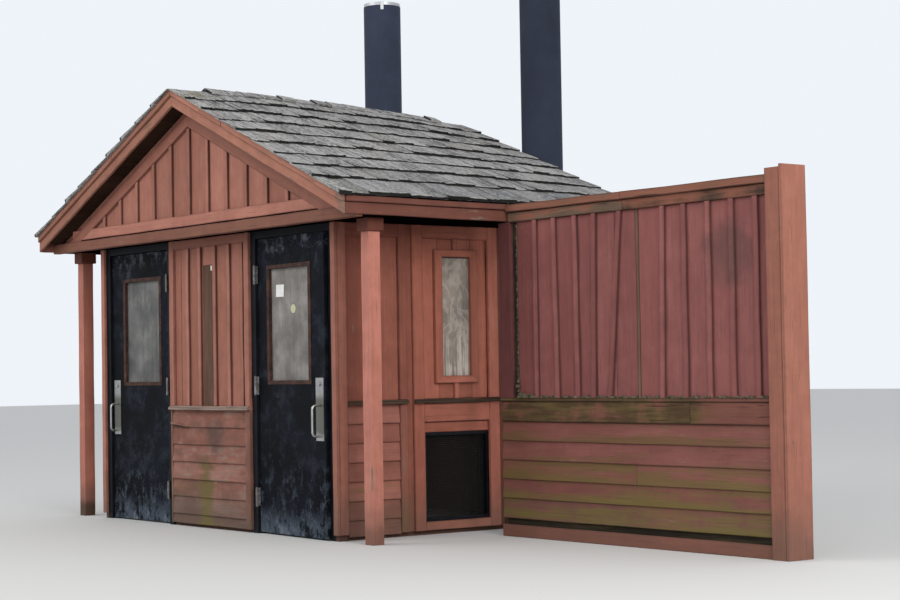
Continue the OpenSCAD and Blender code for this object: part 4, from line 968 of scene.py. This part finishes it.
def eaves():
    """Fascia boards along both eaves with a proud strip, and the beams under the gables.

    The fascias fall by 25 mm to the rear.
    """
    b = Boards("eave_fascia_boards")
    y0, y1 = BARGE_Y + 0.02, REAR_BARGE_Y - 0.02
    length, joint = y1 - y0, 1.6
    for s in (-1, 1):
        m = plane((s * EAVE_X, y0, 0), (0, 1, -0.025 / length), (s, 0, 0))
        b.lying(m, 0, length, 2.109, 2.184, *TRIM, wander=0.0015)
        for a, c in ((0, joint), (joint + 0.002, length)):
            b.lying(m, a, c, 2.186, 2.224, -0.02, 0.015, wander=0.0012)
    b.build(RED_EAVE, "eave_fascias", slot="red_paint")
    beams = Boards("beam_timbers")
    for y, out in ((-BEAM_OUT, -1), (BODY_D + BEAM_OUT, 1)):
        beams.lying(plane((0, y, 0), X, (0, out, 0)), -GABLE_HALF, GABLE_HALF, 2.094, 2.169, -0.053, 0,
                    wander=0.001, bow=-0.001)
    beams.build(RED_BEAM, "gable_beams", slot="red_paint")


def shake_roof():
    """Courses of split shakes of random widths, each a ridged wedge with a rough butt, and ridge boards.

    A course's butts waver by 7 sin(1.9 y + a) + 4 sin(5.3 y + b) mm besides each shake's own slip. A
    shake's top runs through six random heights across it and thins by 0.8 l / L up the roof, and
    its underside is lifted by lift (1 - l / L).
    """
    b, across = Boards("shake_courses"), 9
    out = EAVE_X + 0.02
    butts = [out] + [out - 0.3 - i * 0.232 for i in range(8)]
    y0, y1 = BARGE_Y - 0.033, REAR_BARGE_Y + 0.033
    for side in (-1, 1):
        m = plane((0, 0, RIDGE_Z), Y, (side * SLOPE / ROOF_RUN, 0, 1 / ROOF_RUN),
                  (side / ROOF_RUN, 0, -SLOPE / ROOF_RUN))
        for k, (x, above) in enumerate(zip(butts, butts[1:] + [0.0])):
            reach = (x - above) * ROOF_RUN + (0.06 if above else -0.004)
            phase = rng.uniform(0, TURN, 2)
            y = y0
            while y < y1 - 0.02:
                w = min(rng.uniform(0.07, 0.17), y1 - y)
                if y1 - y - w < 0.05:
                    w = y1 - y
                wave = 0.007 * math.sin(1.9 * y + phase[0]) + 0.004 * math.sin(5.3 * y + phase[1])
                slip = wave + rng.uniform(-0.013, 0.008) if k else rng.uniform(-0.008, 0.002)
                thick = rng.uniform(0.017, 0.031)
                lift = rng.uniform(0.004, 0.011) if k else 0.003
                s = np.linspace(0, w - rng.uniform(0.0008, 0.003), across)
                tops = thick + np.interp(s, np.linspace(0, w, 6), rng.uniform(-0.0035, 0.0015, 6))
                section = np.vstack([np.column_stack([s, 0 * s]), np.column_stack([s, tops])[::-1]])
                taper = lambda t, f, h=lift: np.where(f > 0, f * (1 - 0.8 * t) + 0.001, h * (1 - t))
                pale = (rng.uniform(0.85, 1.0), rng.uniform(), rng.uniform()) if y == y0 else None
                # Both sides of each shake are listed to be shaded: painted shade in the gaps near the butts
                b.add(m, (y, 0.0, x * ROOF_RUN + slip), (0, 0, -1), X, Y, reach + slip, section,
                      cuts=(rng.uniform(-0.05, 0.05), 0), taper=taper, end=0.003, wander=0.0005, step=0.1,
                      bend=sagging, ragged=0.009, tone=pale, dim=(across - 1, 2 * across - 1))
                y += w
        y = 0.0
        while y < BODY_D:
            length, thick = min(rng.uniform(0.10, 0.2), BODY_D - y), rng.uniform(0.008, 0.020)
            section = rect(0.112 + rng.uniform(-0.02, 0.004), thick, 0.002)
            b.add(m, (y, 0.009, -0.006), X, Z, Y, length + 0.03, section, bend=sagging,
                  taper=lambda t, f: f + 0.006 * (1 - t), wander=0.0005, end=0.003, ragged=0.006)
            y += length
    b.build(SHAKES, "left_shakes", "right_shakes", "ridge_cap", slot="shakes")


# Screen wall

def screen():
    """Boards and battens over a mossy rail and clapboards, on both faces, under a weathered head."""
    rail, low, end = BELT_Z - CLAP, 0.122, SCREEN_X0 + 0.12
    seams = [2.242, 2.44, 2.64, 2.84, 3.02, 3.21, 3.42, 3.64, 3.838, 4.045, 4.238, 4.433, SCREEN_X1]
    # Places of the battens' heads and feet; some lean
    battens = [(2.44, 2.44), (2.63, 2.65), (2.84, 2.85), (3.025, 3.00), (3.267, 3.155), (3.656, 3.632),
               (3.838, 3.838), (4.045, 4.045), (4.238, 4.238), (4.433, 4.433)]
    boards, claps, mossy, bare, gaps, dark = (Boards("screen_" + part) for part in (
        "boards", "clapboards", "rail_boards", "bare_batten", "gaps", "end_board"))
    for m in SCREEN_FACES:
        for a, c in zip(seams, seams[1:]):
            face = BOARD[1] + rng.uniform(-0.001, 0.001)
            boards.upright(m, a + SEAM, c - SEAM, 0.87, HEAD_Z, BOARD[0], face)
        bare.upright(m, 3.403, 3.433, BELT_TOP, HEAD_Z, -0.0201, -0.0165)
        # Each batten's side towards +x is listed to be shaded, for painted shade
        for head, foot in battens:
            boards.add(m, (foot - BATTEN, TRIM[0], BELT_TOP), ((head - foot) / 1.2, 0, 1), X, Y,
                       HEAD_Z - BELT_TOP, rect(2 * BATTEN, 0.018), wander=0.0018, dim=(2,))
        dark.upright(m, SCREEN_X0, end, BELT_TOP, HEAD_Z, *DEEP)
        # Near-black strips deep in the gap by the end board and under the clapboards: rotten timber and
        # painted shade
        gaps.upright(m, end - 0.02, 2.243, 0.9, HEAD_Z, -0.038, -0.03)
        gaps.lying(m, SCREEN_X0 + 0.01, SCREEN_X1, FOOT_Z, low + 0.01, -0.038, -0.034)
        for a, c in ((SCREEN_X0, 3.868), (3.871, SCREEN_X1)):
            mossy.lying(m, a, c, rail + 0.002, BELT_TOP - 0.024, -0.02, -0.001, wander=0.001)
        mossy.lying(m, SCREEN_X0, SCREEN_X1, BELT_TOP - 0.023, BELT_TOP, -0.038, 0.004, wander=0.001)
        claps.lying(m, SCREEN_X0, SCREEN_X1, low, BELT_Z, -0.038, -0.0201)
        claps.claps(m, SCREEN_X0, SCREEN_X1 - 0.002, low, rail, joints=[(2, 3.384)])
    boards.build(SCREEN_RED, "screen_siding", slot="screen_paint")
    claps.build(SCREEN_LOW, slot="screen_paint")
    mossy.build(MOSSY, slot="bare_wood")
    bare.build(STRIP, slot="bare_wood")
    gaps.build(ROTTEN_AND_SHADED, slot="dark_boards")
    dark.build(SCREEN_DARK, slot="screen_paint")
    sill = Boards("screen_sill_boards")
    for m in SCREEN_FACES:
        sill.lying(m, SCREEN_X0, SCREEN_X1, 0.0, 0.08, *TRIM)
    sill.build(RED_SIDE, "screen_sill", slot="screen_paint")
    head, x0, joint = Boards("screen_head_boards"), EAVE_X + 0.015, 3.30
    for m in SCREEN_FACES:
        for a, c in ((x0, joint), (joint + 0.002, SCREEN_X1)):
            head.lying(m, a, c, HEAD_Z, 2.155, *TRIM, wander=0.0012)
    for a, c, z in ((x0, joint, 2.157), (joint + 0.003, SCREEN_X1, 2.156)):
        head.lying(SCREEN_FACES[0], a, c, z, z + 0.048, -0.184, 0.018, wander=0.0015)
    head.build(HEAD, "screen_head", slot="bare_wood")
    post = Boards("screen_end_boards")
    m = plane((SCREEN_X1, SCREEN_Y - 0.02, 0), X, Y)
    for a, c, top in ((0, 0.11, 2.239), (0.111, 0.13, 2.255)):
        post.upright(m, a, c, 0, top, 0, 0.206)
    post.build(RED_END, "screen_end_post", slot="red_paint")


def moss_fringe():
    """Moss in the angle over the screen's rail and up its gap, as beads of half-elliptic section.

    A bead's radius is size swell (2 + 8 |sin(29 l + a) sin(83 l + b)| + 3 sin(211 l + c)^2) mm, where l
    runs along it and swell = 1 + 1.3 exp(-((l - 0.08) / 0.09)^2) where the two beads meet. Round
    the section it reaches r sin(w) off the corner and 0.9 r (1 - cos(w)) outwards, w from 0 to pi.
    """
    around = np.linspace(0, np.pi, 7)
    points, faces, count = [], [], 0
    for m in SCREEN_FACES:
        rail_bead = (2.24, BELT_TOP), (1, 0), (0, 1), SCREEN_X1 - 2.242, 1.5
        gap_bead = (2.243, BELT_TOP + 0.004), (0, 1), (1, 0), 1.15, 0.7
        for origin, run, side, length, size in (rail_bead, gap_bead):
            l = np.linspace(0, length, int(length / 0.005))[:, None]
            a, b, c = rng.uniform(0, TURN, 3)
            swell = 1 + 1.3 * np.exp(-((l - 0.08) / 0.09) ** 2)
            r = size * swell * (0.002 + 0.008 * np.abs(np.sin(29 * l + a) * np.sin(83 * l + b))
                                + 0.003 * np.sin(211 * l + c) ** 2)
            reach, out = r * np.sin(around), 0.9 * r * (1 - np.cos(around)) - 0.021
            bead = np.stack([origin[0] + l * run[0] + reach * side[0], out,
                             origin[1] + l * run[1] + reach * side[1], np.ones_like(out)], -1)
            rings, n = bead.shape[:2]
            points.append((bead.reshape(-1, 4) @ m.T)[:, :3])
            outwards = slice(None, None, 1 if (run[0] == 1) != (m is SCREEN_FACES[1]) else -1)
            caps = np.arange(n)[::-1], np.arange(n) + (rings - 1) * n
            faces += (count + tube_faces(rings, n)[..., outwards]).reshape(-1, 4).tolist()
            faces += [(count + cap[outwards]).tolist() for cap in caps]
            count += rings * n
    make("screen_moss", np.concatenate(points), faces, MOSS)


# Doors and openings

RIGHT_LEAF = plane((LEAF_PIN_X * (1 - math.cos(AJAR)) - 0.013 * math.sin(AJAR),
                    0.013 * (1 - math.cos(AJAR)) + LEAF_PIN_X * math.sin(AJAR), 0),
                   (math.cos(AJAR), -math.sin(AJAR), 0), (-math.sin(AJAR), -math.cos(AJAR), 0))


def door_trims():
    """Mitred rusty beads on both faces of the door windows, and two blank labels on the right pane.

    The white label is a crooked rectangle and the yellow one an ellipse (33 cos w, 30 sin w) mm; each
    is its outline carried 1 mm through.
    """
    for side, m, sign in (("left", FRONT, -1), ("right", RIGHT_LEAF, 1)):
        b = Boards(side + "_window_beads", side + "_door")
        for inner, outer in ((0.019, -0.004), (0.048, 0.025)):
            mitred(b, m, *sorted((sign * 0.786, sign * 1.316)), 1.06, 1.828, 0.033, 0.028,
                   -LEAF_Y - inner, -LEAF_Y - outer)
        b.build(RUST_BEAD, side + "_door_window_bead", slot="rusty_steel")
    white = np.array([(-1, -1), (0.9, -1.05), (1, 0.95), (-0.95, 1)]) * (0.055, 0.042) + (0.905, 1.677)
    w = np.linspace(0, TURN, 19)[:-1]
    oval = np.column_stack([np.cos(w), np.sin(w)]) * (0.033, 0.030) + (1.085, 1.547)
    for name, outline, material in (("white_label", white, LABEL), ("yellow_label", oval, YELLOW)):
        n = len(outline)
        u, z = np.tile(outline, (2, 1)).T
        d = -LEAF_Y - np.repeat((0.0185, 0.0175), n)
        points = (np.column_stack([u, d, z, np.ones(2 * n)]) @ RIGHT_LEAF.T)[:, :3]
        faces = [list(range(n))[::-1], list(range(n, 2 * n))] + tube_faces(2, n)[0].tolist()
        make(name, points, faces, material, "right_door")


def vent_grilles():
    """Wire mesh in the vents: square wires at a 13 mm pitch, woven one way over the other.

    Corner k of a wire's end is r (cos(pi k / 2) p + sin(pi k / 2) x), where p lies across the wire.
    """
    (y0, y1, z0, z1), pitch, r = VENT, 0.013, 0.0011
    corner = np.pi / 2 * np.arange(4)[:, None]
    points = []
    for side in (-1, 1):
        x = side * (HALF - 0.0495)
        y, z = np.arange(y0, y1, pitch), np.arange(z0, z1, pitch)
        for mid, across, ends in (((x, y, 0), (0, -1, 0), ((0, 0, z0), (0, 0, z1))),
                                  ((x + side * 0.002, 0, z), Z, ((0, y0, 0), (0, y1, 0)))):
            wires = np.stack(np.broadcast_arrays(*mid), -1)
            ring = r * (np.cos(corner) * across + np.sin(corner) * X)
            points.append((wires[:, None, None] + np.array(ends)[:, None] + ring).reshape(-1, 3))
    points = np.concatenate(points)
    wire = np.vstack([tube_faces(2, 4)[0], [3, 2, 1, 0], [4, 5, 6, 7]])
    faces = wire + 8 * np.arange(len(points) // 8)[:, None, None]
    make("vent_wire", points, faces.reshape(-1, 4).tolist(), MESH, "building", ("vent_meshes",))


def cap_straps():
    """A thin strap over each pipe's cap, down both sides of the pipe."""
    b, half, top = Boards("pipe_cap_straps"), 0.014, 4.2485
    for x in (-1.308, 0.786):
        m = plane((x, BODY_D + 0.48, 0), (0.581, 0.814, 0), (0.814, -0.581, 0))
        for d in (-0.1595, 0.1570):
            b.upright(m, -half, half, 4.180, top, d, d + 0.0025, end=0.0005, wander=0)
        b.add(m, (-half, -0.1595, top - 0.0023), Y, X, Z, 0.319, rect(2 * half, 0.0022, 0.0005),
              end=0.0005, wander=0)
    b.build(GALV, slot="steel")


def dress_cad():
    """Gives the CAD nodes that stay their materials."""
    # The soffits, ceiling, roof decks and gable walls take timber darkened as painted shade under the roof
    looks = {BLACK: ("left_door_leaf", "right_door_leaf"),
             JAMB: ("left_door_frame", "right_door_frame", "vent_frames"),
             STEEL: ("left_door_pull", "right_door_pull"),
             HINGE: ("frame_hinges", "left_leaf_hinges", "right_leaf_hinges"),
             GLASS_LEFT: ("left_door_glass",), GLASS_RIGHT: ("right_door_glass",),
             PANE: ("side_window_panes",), SHADED_SOFFIT: ("rake_soffits",),
             CORE: ("front_panel_wall", "side_walls", "rear_wall", "screen_wall"),
             SHADED_DARK_TIMBER: ("soffit_and_ceiling", "gable_walls", "left_roof_deck", "right_roof_deck"),
             CONCRETE: ("floor_slab",), PIPE: ("vent_pipes",), GALV: ("pipe_caps", "pipe_brackets")}
    for material, names in looks.items():
        for name in names:
            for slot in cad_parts[name].material_slots:
                slot.material = material


# Studio

def ground():
    """A pale floor, 60 m each way."""
    reach = 60
    mesh = bpy.data.meshes.new("floor")
    corners = [(-reach, -reach, 0), (reach, -reach, 0), (reach, reach, 0), (-reach, reach, 0)]
    mesh.from_pydata(corners, [], [[0, 1, 2, 3]])
    mesh.materials.append(Shader("floor_grey", 0.9).finish((0.5, 0.5, 0.49)))
    to_scene("floor", mesh)


def sky():
    """Soft light from all round, and a pale backdrop for the camera and for what metal and glass show."""
    world = bpy.data.worlds.new("studio")
    bpy.context.scene.world = world
    world.use_nodes = True
    tree = Tree(world.node_tree)
    nodes = world.node_tree.nodes
    rays = "Is Camera Ray", "Is Glossy Ray", "Is Transmission Ray"
    lens, glossy, through = tree.outputs(tree.node("LightPath"), *rays)
    light = Val(tree, nodes["Background"].outputs[0])
    tree.put(nodes["Background"].inputs[0], (0.91, 0.93, 0.97))
    tree.put(nodes["Background"].inputs[1], 1.03)
    backdrop = tree.node("Background", {0: (0.86, 0.90, 0.95)})
    mixed = tree.node("MixShader", {0: lens.max(glossy).max(through), 1: light, 2: backdrop})
    tree.put(nodes["World Output"].inputs[0], mixed)


def lamps():
    """Two broad square lamps aimed at the hut, a key from the front left and a fill from the right.

    A lamp's -Z axis points at the aim: z = (place - aim) / |place - aim|, x = up x z, y = z x x.
    """
    aim = np.array((0.5, 0.0, 1.2))
    key, fill = ((-3.0, -11.0, 9.0), 7.0, 640), ((13.0, -3.0, 6.0), 6.0, 900)
    for name, (place, size, power) in (("key", key), ("fill", fill)):
        light = bpy.data.lights.new(name, "AREA")
        light.shape, light.size, light.energy, light.color = "SQUARE", size, power, (1.0, 0.97, 0.93)
        z = (np.array(place) - aim) / np.linalg.norm(aim - place)
        x = np.cross(Z, z) / np.linalg.norm(np.cross(Z, z))
        lamp = to_scene(name, light)
        lamp.location = place
        lamp.rotation_euler = Matrix(np.column_stack([x, np.cross(z, x), z]).tolist()).to_euler()


def camera():
    """The photograph's camera: turned by yaw and pitch, then rolled about its axis.

    Ahead is (sin yaw cos pitch, cos yaw cos pitch, sin pitch), and level is at right angles to it.
    """
    data = bpy.data.cameras.new("camera")
    focal_pixels, photo_w, data.sensor_width = 1986.1, 900, 36.0
    data.lens = focal_pixels * data.sensor_width / photo_w
    yaw, pitch, roll = (math.radians(a) for a in (-52.68, 2.037, 0.943))
    ahead = np.array((math.sin(yaw) * math.cos(pitch), math.cos(yaw) * math.cos(pitch), math.sin(pitch)))
    level = np.array((math.cos(yaw), -math.sin(yaw), 0.0))
    down = np.cross(ahead, level)
    m = np.eye(4)
    m[:3, 0] = math.cos(roll) * level + math.sin(roll) * down
    m[:3, 1] = math.sin(roll) * level - math.cos(roll) * down
    m[:3, 2], m[:3, 3] = -ahead, (12.460, -7.296 + FRONT_Y, 1.108)
    obj = to_scene("camera", data)
    obj.matrix_world = Matrix(m.tolist())
    bpy.context.scene.camera = obj


def studio():
    """The pale floor, the soft light and the photograph's camera, with plain colours."""
    ground()
    sky()
    lamps()
    camera()
    bpy.context.scene.view_settings.view_transform = "Standard"


front_panel()
side_cladding(RIGHT, "right_side", ("side_siding",))
side_cladding(LEFT, "left_side", ())
window_frames()
rear_cladding()
corner_trims()
belts()
gable("front_gable_boards", -GABLE_OUT, -1, ("gable_siding",))
gable("rear_gable_boards", BODY_D + GABLE_OUT, 1)
barge("front_barge", BARGE_Y, -1, ("bargeboards",))
barge("rear_barge", REAR_BARGE_Y, 1)
eaves()
shake_roof()
screen()
door_trims()
vent_grilles()
cap_straps()
moss_fringe()
dress_cad()
studio()
